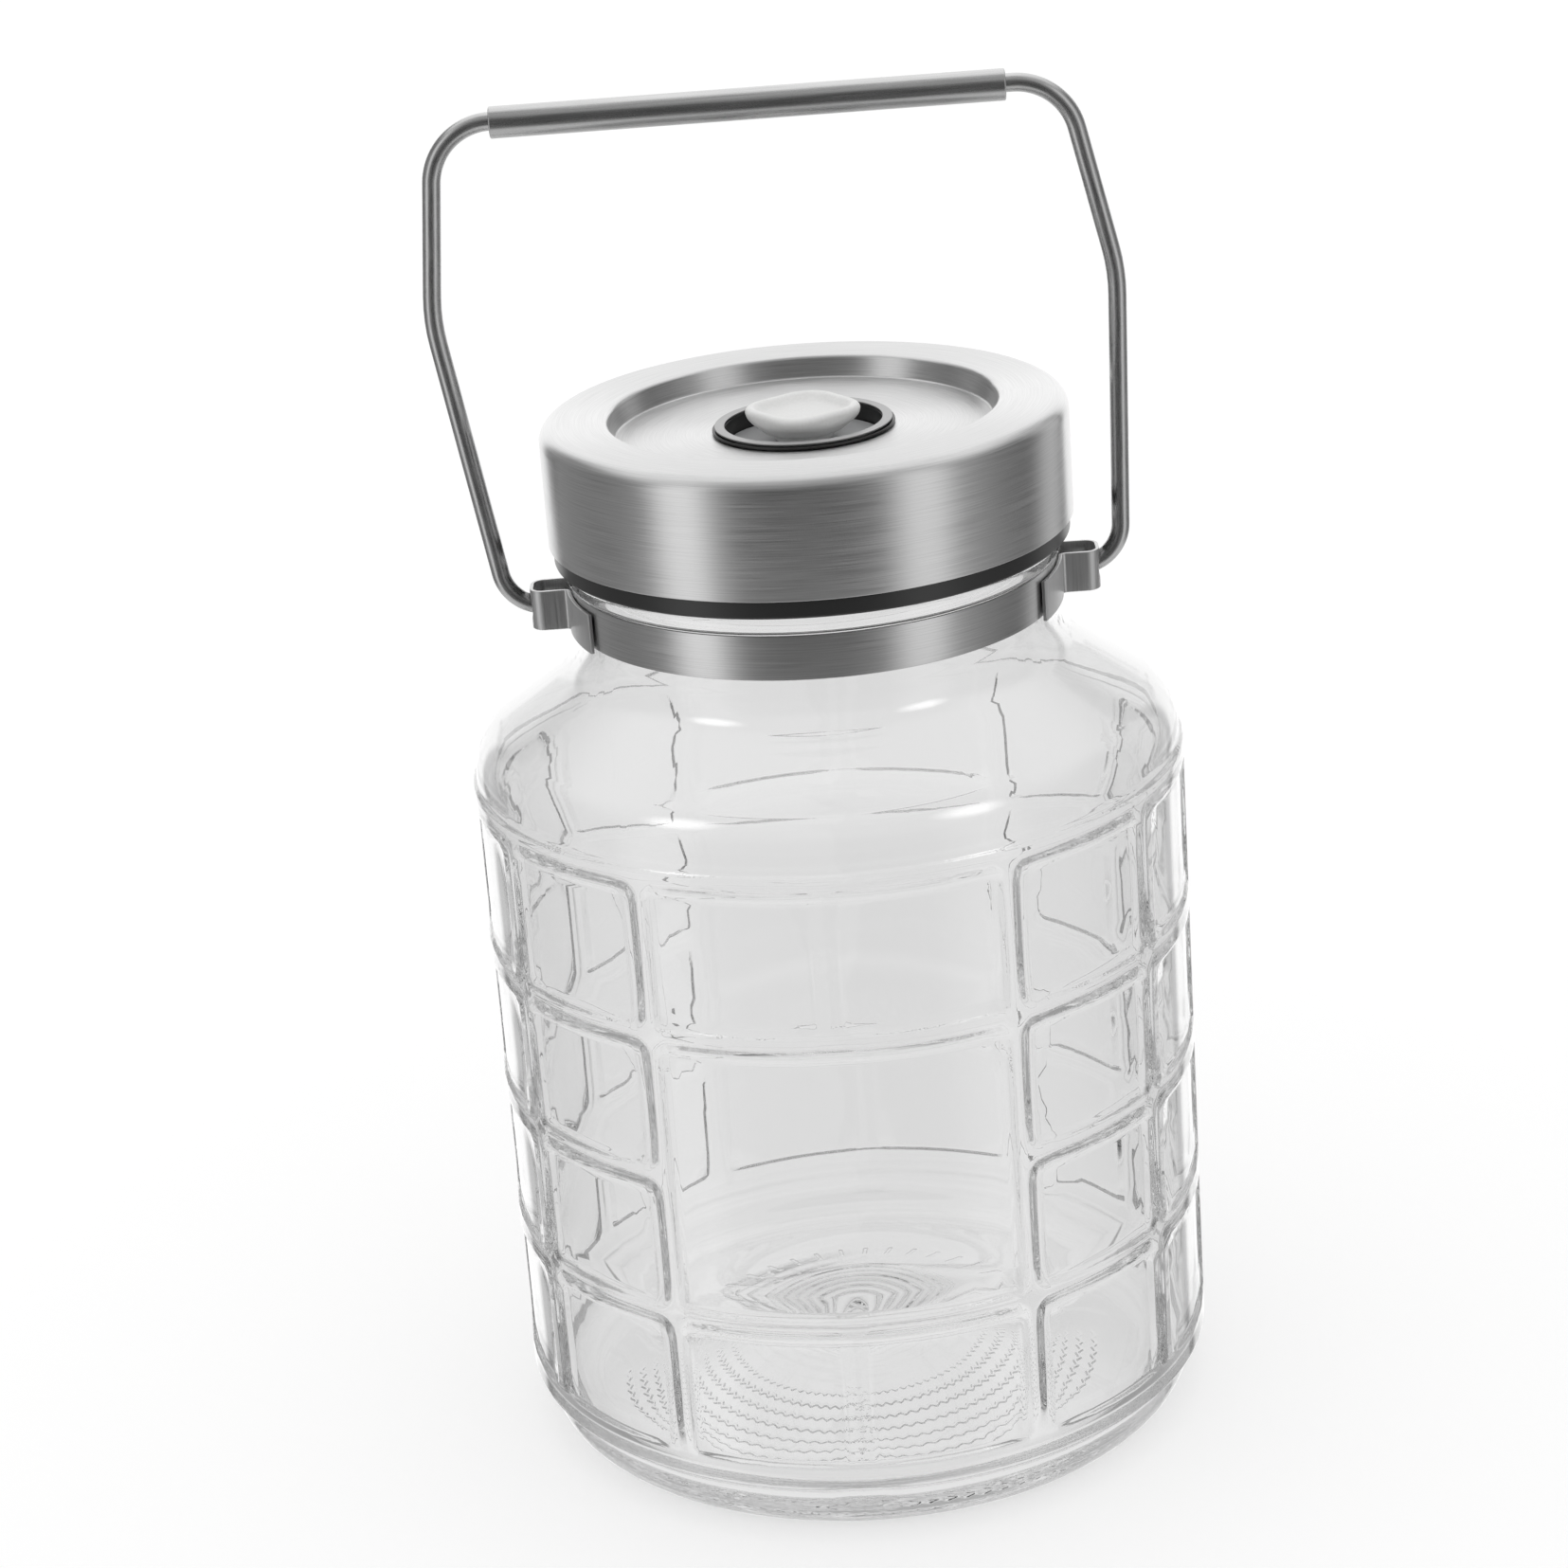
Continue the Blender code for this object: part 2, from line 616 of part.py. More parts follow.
def make_bail(parts, steel):
    """The bent wire. Its origin is on the line through both ears."""
    points = [(point.x, 0.0, point.y) for point in rounded_path(bail_corners())]
    bail = wire("bail_wire", points, WIRE_RADIUS, parts, steel)
    bail.location = (0.0, 0.0, PIVOT_HEIGHT)
    return bail


def make_grip(parts, bail, steel):
    """The tube that hangs loosely on the top of the bail."""
    half_length = GRIP_LENGTH / 2
    grip = turned("grip_tube", ring_profile(GRIP_BORE_RADIUS, GRIP_RADIUS, -half_length, half_length),
                  parts, steel, GRIP_STEPS)
    grip.rotation_euler = (0.0, math.pi / 2, 0.0)
    grip.location = (-BAIL_LEAN, 0.0, BAIL_HEIGHT - GRIP_DROP)
    grip.parent = bail
    return grip


def shell_face(inward):
    """One face of the lid's sheet, from the hole in its floor out and down its skirt."""
    floor_edge = RECESS_RADIUS - RECESS_TAPER
    top = LID_TOP - inward
    floor = RECESS_FLOOR - inward
    lip_centre = (RECESS_RADIUS + RECESS_LIP_RADIUS, LID_TOP - RECESS_LIP_RADIUS)
    edge_centre = (LID_RADIUS - LID_EDGE_RADIUS, LID_TOP - LID_EDGE_RADIUS)
    face = [(CUP_HOLE_RADIUS, floor), (floor_edge + inward, floor)]
    face += arc(lip_centre, RECESS_LIP_RADIUS - inward, math.pi, math.pi / 2, 2)
    face += arc(edge_centre, LID_EDGE_RADIUS - inward, math.pi / 2, 0.0, 3)
    face.append((LID_RADIUS - inward, SHELL_BOTTOM))
    return face


def make_lid_shell(parts, steel):
    """The pressed steel cap: recessed top, rounded edge and plain skirt."""
    profile = shell_face(0.0) + shell_face(SHELL_WALL)[::-1]
    return turned("lid_shell", profile, parts, steel)


def make_lid_liner(parts, cutters, black):
    """The plastic screw cap inside the shell. Its lower edge shows as a black ring."""
    step_inner = RECESS_RADIUS + SHELL_WALL + LINER_FIT
    step_outer = step_inner + LINER_STEP_WALL
    edge = LID_EDGE_RADIUS - SHELL_WALL
    profile = [(CUP_HOLE_RADIUS, LINER_CENTRE_TOP), (step_inner, LINER_CENTRE_TOP)]
    profile.append((step_inner, LINER_TOP))
    profile += arc((LINER_RADIUS - edge, LINER_TOP - edge), edge, math.pi / 2, 0.0, 3)
    profile += [
        (LINER_RADIUS, LINER_BOTTOM + LINER_LEAD_IN),
        (LINER_RADIUS - LINER_LEAD_IN, LINER_BOTTOM),
        (LINER_BORE, LINER_BOTTOM),
        (LINER_BORE, LINER_CEILING),
        (step_outer, LINER_CEILING),
        (step_outer, LINER_CENTRE_BOTTOM),
        (CUP_HOLE_RADIUS, LINER_CENTRE_BOTTOM),
    ]
    liner = turned("lid_liner", profile, parts, black)
    ridge_radius = LINER_BORE + THREAD_RIDGE_RADIUS - LINER_THREAD_PROUD
    start = BEAD_TOP + THREAD_START - THREAD_PITCH / 2
    ridge = wire("liner_thread", helix(ridge_radius, start, LINER_THREAD_TURNS, 0.25),
                 THREAD_RIDGE_RADIUS, cutters, resolution=2)
    add_boolean(liner, ridge, "UNION")
    hide_cutter(ridge)
    ridge.parent = liner
    return liner


def make_lid_gasket(parts, silicone):
    """The silicone ring between the glass rim and the liner."""
    profile = ring_profile(BORE_RADIUS + SEAT_GAP, FINISH_RADIUS + GASKET_OVERHANG,
                           GASKET_BOTTOM, GASKET_BOTTOM + GASKET_THICKNESS)
    return turned("lid_gasket", profile, parts, silicone)


def make_valve_cup(parts, black):
    """The black cup through the middle of the lid, with a flange and a stem hole."""
    flange_radius = CUP_RADIUS + CUP_FLANGE_REACH
    stem_hole = STEM_RADIUS + STEM_CLEARANCE
    profile = [
        (flange_radius, CUP_TOP),
        (flange_radius, CUP_FLANGE_BOTTOM),
        (CUP_RADIUS, CUP_FLANGE_BOTTOM),
        (CUP_RADIUS, CUP_BOTTOM),
        (stem_hole, CUP_BOTTOM),
        (stem_hole, CUP_FLOOR_TOP),
        (CUP_BORE, CUP_FLOOR_TOP),
        (CUP_BORE, CUP_TOP),
    ]
    return turned("valve_cup", profile, parts, black, SMALL_STEPS)


def make_valve_rings(parts, trim, black, silicone, grey):
    """The trim ring on the cup's flange, the disc in the cup, and the nut that holds the cup."""
    trim_bottom = CUP_TOP + SEAT_GAP
    turned("valve_trim_ring", ring_profile(CUP_BORE, CUP_BORE + TRIM_WIDTH, trim_bottom,
                                           trim_bottom + TRIM_THICKNESS), parts, trim, SMALL_STEPS)
    turned("valve_disc", ring_profile(STEM_RADIUS + STEM_CLEARANCE, CUP_BORE - SEAT_GAP,
                                      DISC_BOTTOM, DISC_TOP), parts, grey, SMALL_STEPS)
    gasket_top = LINER_CENTRE_BOTTOM - SEAT_GAP
    gasket_bottom = gasket_top - VALVE_GASKET_THICKNESS
    turned("valve_gasket", ring_profile(CUP_RADIUS + SEAT_GAP, CUP_RADIUS + NUT_REACH,
                                        gasket_bottom, gasket_top), parts, silicone, SMALL_STEPS)
    nut_top = gasket_bottom - SEAT_GAP
    turned("valve_nut", ring_profile(CUP_RADIUS + SEAT_GAP, CUP_RADIUS + NUT_REACH,
                                     nut_top - NUT_THICKNESS, nut_top), parts, black, SMALL_STEPS)


def knob_ring(radius, lobe, height):
    """One level of the knob: a circle that swells into lobes."""
    ring = []
    for index in range(KNOB_POINTS):
        angle = 2.0 * math.pi * index / KNOB_POINTS
        reach = radius + lobe * math.cos(KNOB_LOBES * (angle - KNOB_TURN))
        ring.append((reach * math.cos(angle), reach * math.sin(angle), height))
    return ring


def lofted(name, rings, collection, material):
    """A skin over rings of equal count, from the bottom up, with both ends closed."""
    builder = bmesh.new()
    loops = [[builder.verts.new(place) for place in ring] for ring in rings]
    builder.faces.new(loops[0][::-1])
    builder.faces.new(loops[-1])
    for lower, upper in zip(loops, loops[1:]):
        count = len(lower)
        for index in range(count):
            after = (index + 1) % count
            builder.faces.new((lower[index], lower[after], upper[after], upper[index]))
    mesh = bpy.data.meshes.new(name)
    builder.to_mesh(mesh)
    builder.free()
    return link_object(name, mesh, collection, material)


def make_valve_knob(parts, white):
    """The lobed, bowl-shaped knob with its dished top on a hub, and the stem with a foot under the cup."""
    foot_radius = STEM_RADIUS + STEM_FOOT_REACH
    foot_top = KEEPER_BOTTOM - SEAT_GAP
    inner_top = KNOB_TOP_RADIUS - KNOB_RIM_WIDTH
    bowl_bottom = KNOB_BOTTOM + KNOB_HUB_HEIGHT
    flare_radius_share = 0.75
    flare_height_share = 0.40
    flare = KNOB_BASE_RADIUS + (KNOB_TOP_RADIUS - KNOB_BASE_RADIUS) * flare_radius_share
    flare_height = bowl_bottom + (KNOB_TOP - bowl_bottom) * flare_height_share
    rings = [
        knob_ring(foot_radius, 0.0, foot_top - STEM_FOOT_THICKNESS),
        knob_ring(foot_radius, 0.0, foot_top),
        knob_ring(STEM_RADIUS, 0.0, foot_top),
        knob_ring(STEM_RADIUS, 0.0, KNOB_BOTTOM),
        knob_ring(KNOB_HUB_RADIUS, 0.0, KNOB_BOTTOM),
        knob_ring(KNOB_HUB_RADIUS, 0.0, bowl_bottom),
        knob_ring(KNOB_BASE_RADIUS, 0.0, bowl_bottom),
        knob_ring(flare, KNOB_LOBE * flare_radius_share, flare_height),
        knob_ring(KNOB_TOP_RADIUS, KNOB_LOBE, KNOB_TOP - KNOB_RIM_WIDTH / 2),
        knob_ring(KNOB_TOP_RADIUS - KNOB_RIM_WIDTH / 4, KNOB_LOBE, KNOB_TOP),
        knob_ring(inner_top, KNOB_LOBE / 2, KNOB_TOP),
        knob_ring(inner_top / 2, 0.0, KNOB_TOP - KNOB_DISH_DEPTH),
    ]
    return lofted("valve_knob", rings, parts, white)


def make_valve_keeper(parts, silicone):
    """The silicone washer on the stem that stops the knob at the top of its travel."""
    return turned("valve_keeper", ring_profile(STEM_RADIUS + SEAT_GAP, STEM_RADIUS + KEEPER_REACH,
                                               KEEPER_BOTTOM, KEEPER_TOP), parts, silicone, SMALL_STEPS)


def main():
    """Build every piece of the jar."""
    clear_scene()
    parts = new_collection("fermentation_jar")
    cutters = new_collection("cutters")
    glass = new_material("clear_soda_glass", (0.95, 0.96, 0.96), 0.03, transmission=1.0)
    steel = new_material("brushed_stainless_steel", (0.62, 0.62, 0.62), 0.28, metallic=1.0)
    black = new_material("black_polypropylene", (0.02, 0.02, 0.02), 0.35)
    silicone = new_material("clear_silicone", (0.80, 0.80, 0.80), 0.45)
    white = new_material("white_silicone", (0.85, 0.85, 0.85), 0.40)
    grey = new_material("grey_polypropylene", (0.35, 0.35, 0.35), 0.45)
    trim = new_material("satin_grey_trim", (0.60, 0.60, 0.60), 0.40, metallic=1.0)
    make_jar_body(parts, cutters, glass)
    make_neck_band(parts, steel)
    make_ear("ear_bracket_left", -1, parts, cutters, steel)
    make_ear("ear_bracket_right", 1, parts, cutters, steel)
    bail = make_bail(parts, steel)
    make_grip(parts, bail, steel)
    make_lid_shell(parts, steel)
    make_lid_liner(parts, cutters, black)
    make_lid_gasket(parts, silicone)
    make_valve_cup(parts, black)
    make_valve_rings(parts, trim, black, silicone, grey)
    make_valve_knob(parts, white)
    make_valve_keeper(parts, silicone)
    for piece in parts.objects:
        smooth(piece)


main()
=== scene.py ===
"""Looks of the glass fermentation jar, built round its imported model.

The file is laid out as a Blender add-on and is run as a script. Lengths are in
metres unless a name says millimetres, +Z is up and the jar's front faces -Y.
"""

import json
import math

import bpy
import numpy as np
from bpy.props import FloatProperty, FloatVectorProperty, IntProperty, PointerProperty
from mathutils import Matrix, Vector


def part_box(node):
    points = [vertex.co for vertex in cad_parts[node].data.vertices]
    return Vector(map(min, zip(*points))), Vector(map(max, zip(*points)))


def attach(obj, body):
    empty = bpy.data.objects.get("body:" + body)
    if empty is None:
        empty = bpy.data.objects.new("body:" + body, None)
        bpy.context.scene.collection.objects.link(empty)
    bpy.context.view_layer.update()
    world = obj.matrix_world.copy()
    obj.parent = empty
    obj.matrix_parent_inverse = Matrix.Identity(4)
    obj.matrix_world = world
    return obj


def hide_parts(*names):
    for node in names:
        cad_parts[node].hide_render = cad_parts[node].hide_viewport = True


bl_info = {
    "name": "Fermentation Jar",
    "version": (1, 0, 0),
    "blender": (4, 5, 0),
    "location": "3D View > Sidebar > Jar",
    "description": "Builds a ribbed glass fermentation jar with a steel screw lid and a wire bail",
    "category": "Object",
}

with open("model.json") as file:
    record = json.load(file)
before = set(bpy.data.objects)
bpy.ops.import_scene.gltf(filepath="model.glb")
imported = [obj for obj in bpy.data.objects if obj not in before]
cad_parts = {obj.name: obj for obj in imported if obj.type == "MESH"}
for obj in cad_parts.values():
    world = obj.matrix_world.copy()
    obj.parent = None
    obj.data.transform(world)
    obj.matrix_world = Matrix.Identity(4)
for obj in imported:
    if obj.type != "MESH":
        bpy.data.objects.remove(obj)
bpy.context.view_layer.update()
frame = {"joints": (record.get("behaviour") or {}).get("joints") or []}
JOINTS = {joint["name"]: joint for joint in frame["joints"]}


def node_span(node):
    """Outer radius, lowest height and highest height of a turned node of the model."""
    low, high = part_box(node)
    return high.x, low.z, high.z


LID_RADIUS, LID_BOTTOM, LID_TOP = node_span("lid_shell")
LINER_RADIUS, LINER_BOTTOM, LINER_TOP = node_span("lid_liner")
BAND_RADIUS, BAND_BOTTOM, BAND_TOP = node_span("neck_band")
CUP_FLANGE_RADIUS, CUP_BOTTOM, CUP_TOP = node_span("valve_cup")
GASKET_RADIUS, GASKET_BOTTOM, GASKET_TOP = node_span("lid_gasket")
TRIM_RADIUS, TRIM_BOTTOM, TRIM_TOP = node_span("valve_trim_ring")
DISC_RADIUS, DISC_BOTTOM, DISC_TOP = node_span("valve_disc")
NUT_RADIUS, NUT_BOTTOM, NUT_TOP = node_span("valve_nut")
SEAL_RADIUS, SEAL_BOTTOM, SEAL_TOP = node_span("valve_gasket")
KEEPER_RADIUS, KEEPER_BOTTOM, KEEPER_TOP = node_span("valve_keeper")
KNOB_LOW, KNOB_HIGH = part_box("valve_knob")
RIM_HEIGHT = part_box("jar_body")[1].z
GRIP_LOW, GRIP_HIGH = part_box("grip_tube")
EAR_LOW, EAR_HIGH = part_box("ear_bracket_right")
PIVOT_HEIGHT = JOINTS["bail_swing"]["pos_m"][2]
FLAT_CORNER = 0.0

# Glass: the lattice's rings, the mouth, and how close the grid's lines stand
RING_HEIGHTS = np.array([0.0157, 0.0499, 0.08185, 0.1138, 0.1485])
BASE_RINGS_CENTRE = -0.0024
BASE_RING_FADE = 0.0025
HEEL_SLOPE_HEIGHT = 0.0045
HOLLOW_START = 0.0190
HOLLOW_FADE_IN = 0.006
HOLLOW_FADE_OUT = 0.004
BEAD_BOTTOM = BAND_TOP + 0.0003
BEAD_ROUND = 0.0013
BEAD_TOP_FILLET = 0.0006
BEAD_FOOT_FILLET = 0.0003
BEAD_FOOT_RUN = 0.0015
FINISH_FOOT_RUN = 0.0008
RIM_INNER_ROUND = 0.0014
RIM_OUTER_ROUND = 0.0008
RIM_LIP = 0.002
THREAD_START = 0.0075
THREAD_TURNS = 1.4
THREAD_LEAD = 0.03
THREAD_RUN_OUT = 0.08
THREAD_BLUNTNESS = 0.7
THREAD_ROWS = 26
THREAD_ROW_MARGIN = 0.001
ROW_SPACING = 0.0065
COLUMN_SPACING = 0.0062
FLOOR_SPACING = 0.0014
HEEL_SPACING = 0.00022
HEEL_REACH_SHARE = 0.8
FLANK_REACH_SHARE = 0.75
FLANK_SPACING_SHARE = 0.28
RIB_REACH_SHARE = 0.6
RIB_SPACING_SHARE = 0.13
LAYER_SAMPLES = 6000
LAYER_EDGE_SHARE = 0.08
ROWS_IN_A_BASE_RING = 5.5
SHARP_EDGE = math.radians(50.0)
SLACK = 1e-6

# Base: heights of the mould's fine marks, and the places between which each one fades
MILLIMETRES = 1000.0
FIRST_GROOVE = 0.0010
GROOVE_SWAY = 0.09
GROOVE_FADE_IN = 0.0020
GROOVE_FADE_OUT = (0.0090, 0.0070)
GROOVE_FRONT = (-0.012, 0.004)
TICK_EDGES = (0.80, 0.98)
TICK_START = (0.0360, 0.0375)
TICK_END = (0.0425, 0.0440)
TICK_BACK = (0.010, 0.020)
KNURL_HEIGHT = 0.000004
KNURL_EDGES = (0.70, 0.95)
KNURL_START = (0.0010, 0.0014)
KNURL_END = (0.0019, 0.0023)
TOOL_MARK_SIZE = 0.0018
TOOL_MARK_DEPTH = 0.00008

# Lid and valve
LID_HEM_SHARE = 0.4
DISH_FLOOR_ROUND = 0.0006
DISH_RIM_ROUND = 0.0011
DISH_RIM_UNDER_ROUND = 0.0009
DISH_FLOOR_UNDER_ROUND = 0.0016
LINER_BORE = 0.0520
LINER_PLATE = 0.0014
LINER_CLEARANCE = 0.0004
LINER_ROUND = 0.0004
LINER_FOOT_ROUND = 0.0006
LINER_INNER_ROUND = 0.0003
GASKET_WIDTH = 0.0044
GASKET_ROUND = 0.0004
CUP_HOLE_RADIUS = 0.0178
CUP_BORE = 0.0165
CUP_RADIUS = 0.0174
CUP_FLANGE = 0.0005
CUP_ROUND = 0.0003
EDGE_ROUND = 0.0002
SHARP_ROUND = 0.0001
TRIM_ROUND = 0.00014
SEAT_GAP = 0.0003
STEM_RADIUS = 0.0028
STEM_CLEARANCE = 0.0008
KNOB_FOOT_RADIUS = 0.0042
KNOB_FOOT_HEIGHT = 0.0009
KNOB_FLARE_HEIGHT = 0.0024
KNOB_FLARE = 0.0002
KNOB_RIM_WIDTH = 0.0016
KNOB_DISH_INSET = 0.0032
KNOB_DISH_DEPTH = 0.0016
KNOB_HUB_FILLET = 0.0004
KNOB_HUB_ROUND = 0.0003
KNOB_BASE_ROUND = 0.0010
KNOB_RIM_ROUND = 0.0011
KNOB_RIM_INNER_ROUND = 0.0008
KNOB_RIM_FALL = 0.0001
KNOB_LOBES = 4
KNOB_LOBE_TOP = 0.001
KNOB_ROWS = 110

# Band, ears, wire and grip
BAND_WALL = 0.00055
EAR_FLANGE_ANGLE = math.radians(26.0)
EAR_ROOT_BEND = 0.0012
EAR_CORNER = 0.0026
EAR_HOLE_RADIUS = 0.0030
FOOT_REACH = 0.00465
KINK_REACH = 0.01045
TOP_REACH = 0.00385
FOOT_BEND = 0.0090
KINK_BEND = 0.0400
TOP_BEND = 0.0130
WIRE_END_GAP = 0.0025
WIRE_END_ROUND = 0.0006
GRIP_BORE_RADIUS = 0.0025
GRIP_ROUND = 0.0003

# Finishes: how far a pattern's noise is stretched, and the tones that it gives
NOISE_SPAN = (0.3, 0.7)
BRUSHED_TONES = (0.86, 1.06)
BRUSHED_ROUGHNESS = (0.85, 1.15)
BRUSHED_BUMP = (0.12, 0.00002)
MOULDED_TONES = (0.96, 1.02)
MOULDED_BUMP = 0.3
# Each lid plastic: its material's name, roughness, grain, the grain's depth, and the share of light that goes
# under its skin. Polypropylene has a soft sheen. Silicone is duller, and the knob's lets a little light in.
PLASTICS = {
    "black": ("moulded_black_polypropylene", 0.32, 0.0004, 0.00002, 0.0),
    "clear": ("moulded_clear_silicone", 0.45, 0.0005, 0.00001, 0.0),
    "grey": ("moulded_grey_polypropylene", 0.42, 0.0004, 0.00001, 0.0),
    "white": ("moulded_white_silicone", 0.38, 0.0006, 0.00001, 0.15)}
# Each steel: its material's name, the length and spacing of its lines, its smear and the turn of the smear.
# The sheet's lines are about 0.25 mm apart, wire and tube are drawn lengthwise, and the trim is satin.
STEELS = {
    "sheet": ("brushed_stainless_sheet", 0.02, 0.00025, 0.8, 0.25),
    "trim": ("satin_steel_trim", 0.004, 0.0002, 0.3, 0.25),
    "wire": ("drawn_stainless_wire", 0.0005, 0.006, 0.5, 0.0),
    "tube": ("rolled_stainless_tube", 0.0004, 0.02, 0.6, 0.0)}
TRIM_ROUGHNESS = 0.42
WIRE_ROUGHNESS = 0.28
TUBE_ROUGHNESS = 0.26

# Light: azimuths and elevations in degrees, azimuth 0 toward the camera and + to the right, and radiances.
# A layer of a room fades in from its first elevation to its second and covers all that lies past that. Metal
# has a ceiling and a table over its walls. Glass has a grey gap, a ceiling and a table.
SOFT_BOXES = ((-66.0, 50.0), (54.5, 44.0))
SOFT_BOX_RADIUS = math.radians(13.0)
SOFT_BOX_RADIANCE = 7.0
GLASS_BOUNCES = 32
FLOOR_GLOW = 0.62
CAMERA_REACH = 50.0
MIRRORED_WALLS = (
    (-180, 1.3), (-150, 1.3), (-146, 0.08), (-142, 0.08), (-140, 0.34), (-100, 0.22), (-76, 0.28), (-64, 1.2),
    (-50, 1.2), (-42, 0.45), (-32, 0.16), (-15, 0.10), (12, 0.10), (30, 0.22), (44, 1.05), (56, 1.05),
    (68, 0.40), (88, 0.24), (104, 0.18), (112, 0.12), (124, 0.65), (138, 0.70), (140, 0.10), (143, 0.10),
    (147, 1.3), (180, 1.3))
MIRRORED_CEILING = ((-180, 1.4), (-110, 1.2), (-60, 0.5), (60, 0.5), (110, 1.2), (180, 1.4))
MIRRORED_LAYERS = ((30.0, 50.0, MIRRORED_CEILING), (-30.0, -42.0, 0.80))
GLASS_WALLS = ((-180, 0.81), (-152, 0.81), (-135, 0.42), (-20, 0.18), (20, 0.18), (135, 0.42), (152, 0.81),
               (180, 0.79))
GLASS_LAYERS = ((3.0, 8.0, 0.42), (22.0, 42.0, 0.80), (-34.0, -46.0, 0.78))


def hex_colour(code):
    """An sRGB colour such as #A0B0C0 as linear red, green and blue."""
    share = np.array([int(code[place:place + 2], 16) for place in (1, 3, 5)]) / 255
    linear = np.where(share <= 0.04045, share / 12.92, ((share + 0.055) / 1.055) ** 2.4)
    return tuple(float(value) for value in linear)


def length(label, words, default):
    """A length that a user may change."""
    return FloatProperty(name=label, description=words, default=default, unit="LENGTH", precision=5)


def angle(label, words, degrees):
    """An angle that a user may change."""
    return FloatProperty(name=label, description=words, default=math.radians(degrees), subtype="ANGLE")


def colour(label, words, code):
    """A colour that a user may change, given as an sRGB hex value."""
    return FloatVectorProperty(name=label, description=words, default=hex_colour(code), subtype="COLOR",
                               min=0.0, max=1.0)


def factor(label, words, default):
    """A plain number from 0 to 1 that a user may change."""
    return FloatProperty(name=label, description=words, default=default, subtype="FACTOR", min=0.0, max=1.0)


class JarGlassSettings(bpy.types.PropertyGroup):
    """Sizes and colour of the moulded glass."""

    body_radius: length("Body radius", "Outer radius of the panels", 0.0753)
    wall: length("Wall", "Thickness of the glass", 0.0038)
    rib_width: length("Rib width", "Width of a rib from toe to toe", 0.0068)
    rib_proud: length("Rib height", "How far a rib stands out of the panels", 0.00085)
    rib_flank: length("Rib flank", "Width of the sloping side of a rib", 0.0013)
    panel_corner: length("Panel corner", "Radius of a panel's rounded corner", 0.0026)
    hollow_depth: length("Hollow depth", "Depth of the soft hollow in the inner wall behind a rib", 0.00125)
    hollow_flank: length("Hollow flank", "Width of the sloping side of a hollow", 0.0032)
    hollow_width: length("Hollow width", "Width of a hollow", 0.0064)
    seam_share: factor("Seam share", "Share of the relief left on the two ribs at the mould's seam", 0.35)
    lattice_turn: angle("Lattice turn", "Turn of the rib pattern about the axis", -2.5)
    columns: IntProperty(name="Columns", description="Panels round the jar", default=12, min=4)
    shoulder_radius: length("Shoulder radius", "Radius of the round above the body", 0.0132)
    shoulder_height: length("Shoulder height", "Height of the centre of the shoulder's round", 0.1520)
    shoulder_slope: angle("Shoulder slope", "Slope of the shoulder from level", 34.3)
    neck_radius: length("Neck radius", "Outer radius of the neck", 0.0504)
    neck_fillet: length("Neck fillet", "Radius where the neck meets the shoulder", 0.0090)
    finish_radius: length("Finish radius", "Outer radius of the mouth behind the thread", 0.0498)
    bead_radius: length("Bead radius", "Outer radius of the bead above the band", 0.0523)
    bead_height: length("Bead height", "Height of the bead", 0.00385)
    thread_pitch: length("Thread pitch", "Rise of the screw thread in one turn", 0.0060)
    thread_proud: length("Thread height", "How far the thread stands out", 0.0016)
    thread_width: length("Thread width", "Width of the thread's ridge", 0.0029)
    heel_radius: length("Heel radius", "Radius of the round at the foot", 0.0080)
    heel_inset: length("Heel inset", "How far the heel stands in from the panels", 0.0024)
    heel_step: length("Heel step", "Part of the inset that is a short step under the lowest ring", 0.0008)
    heel_step_top: length("Heel step top", "Height at which the short step begins", 0.0131)
    heel_step_height: length("Heel step height", "Height of the short step", 0.0021)
    dome_height: length("Dome height", "Height of the dome under the base", 0.0120)
    dome_edge: length("Dome edge", "Radius at which the dome under the base begins", 0.0615)
    base_wall: length("Base wall", "Thickness of the base", 0.0062)
    inner_corner: length("Inner corner", "Radius between the inner wall and the inner floor", 0.0110)
    ring_pitch: length("Base ring pitch", "Spacing of the rings in the middle of the base", 0.0031)
    ring_depth: length("Base ring depth", "Depth of the rings under the base", 0.00006)
    rings_end: length("Base rings end", "Radius at which the rings give way to grooves", 0.0265)
    groove_pitch: length("Groove pitch", "Spacing of the waved grooves round the rings", 0.00363)
    groove_width: length("Groove width", "Width of the waved grooves", 0.0016)
    groove_depth: length("Groove depth", "Depth of the waved grooves", 0.00030)
    waves: IntProperty(name="Waves", description="Waves in each groove", default=92, min=3)
    ticks: IntProperty(name="Ticks", description="Short radial ridges across the grooves", default=46, min=3)
    tick_height: length("Tick height", "Height of the radial ridges", 0.00016)
    knurls: IntProperty(name="Knurls", description="Knurls round the standing ring", default=67, min=3)
    tint: colour("Tint", "Colour of light that has passed the glass", "#FFFFFF")


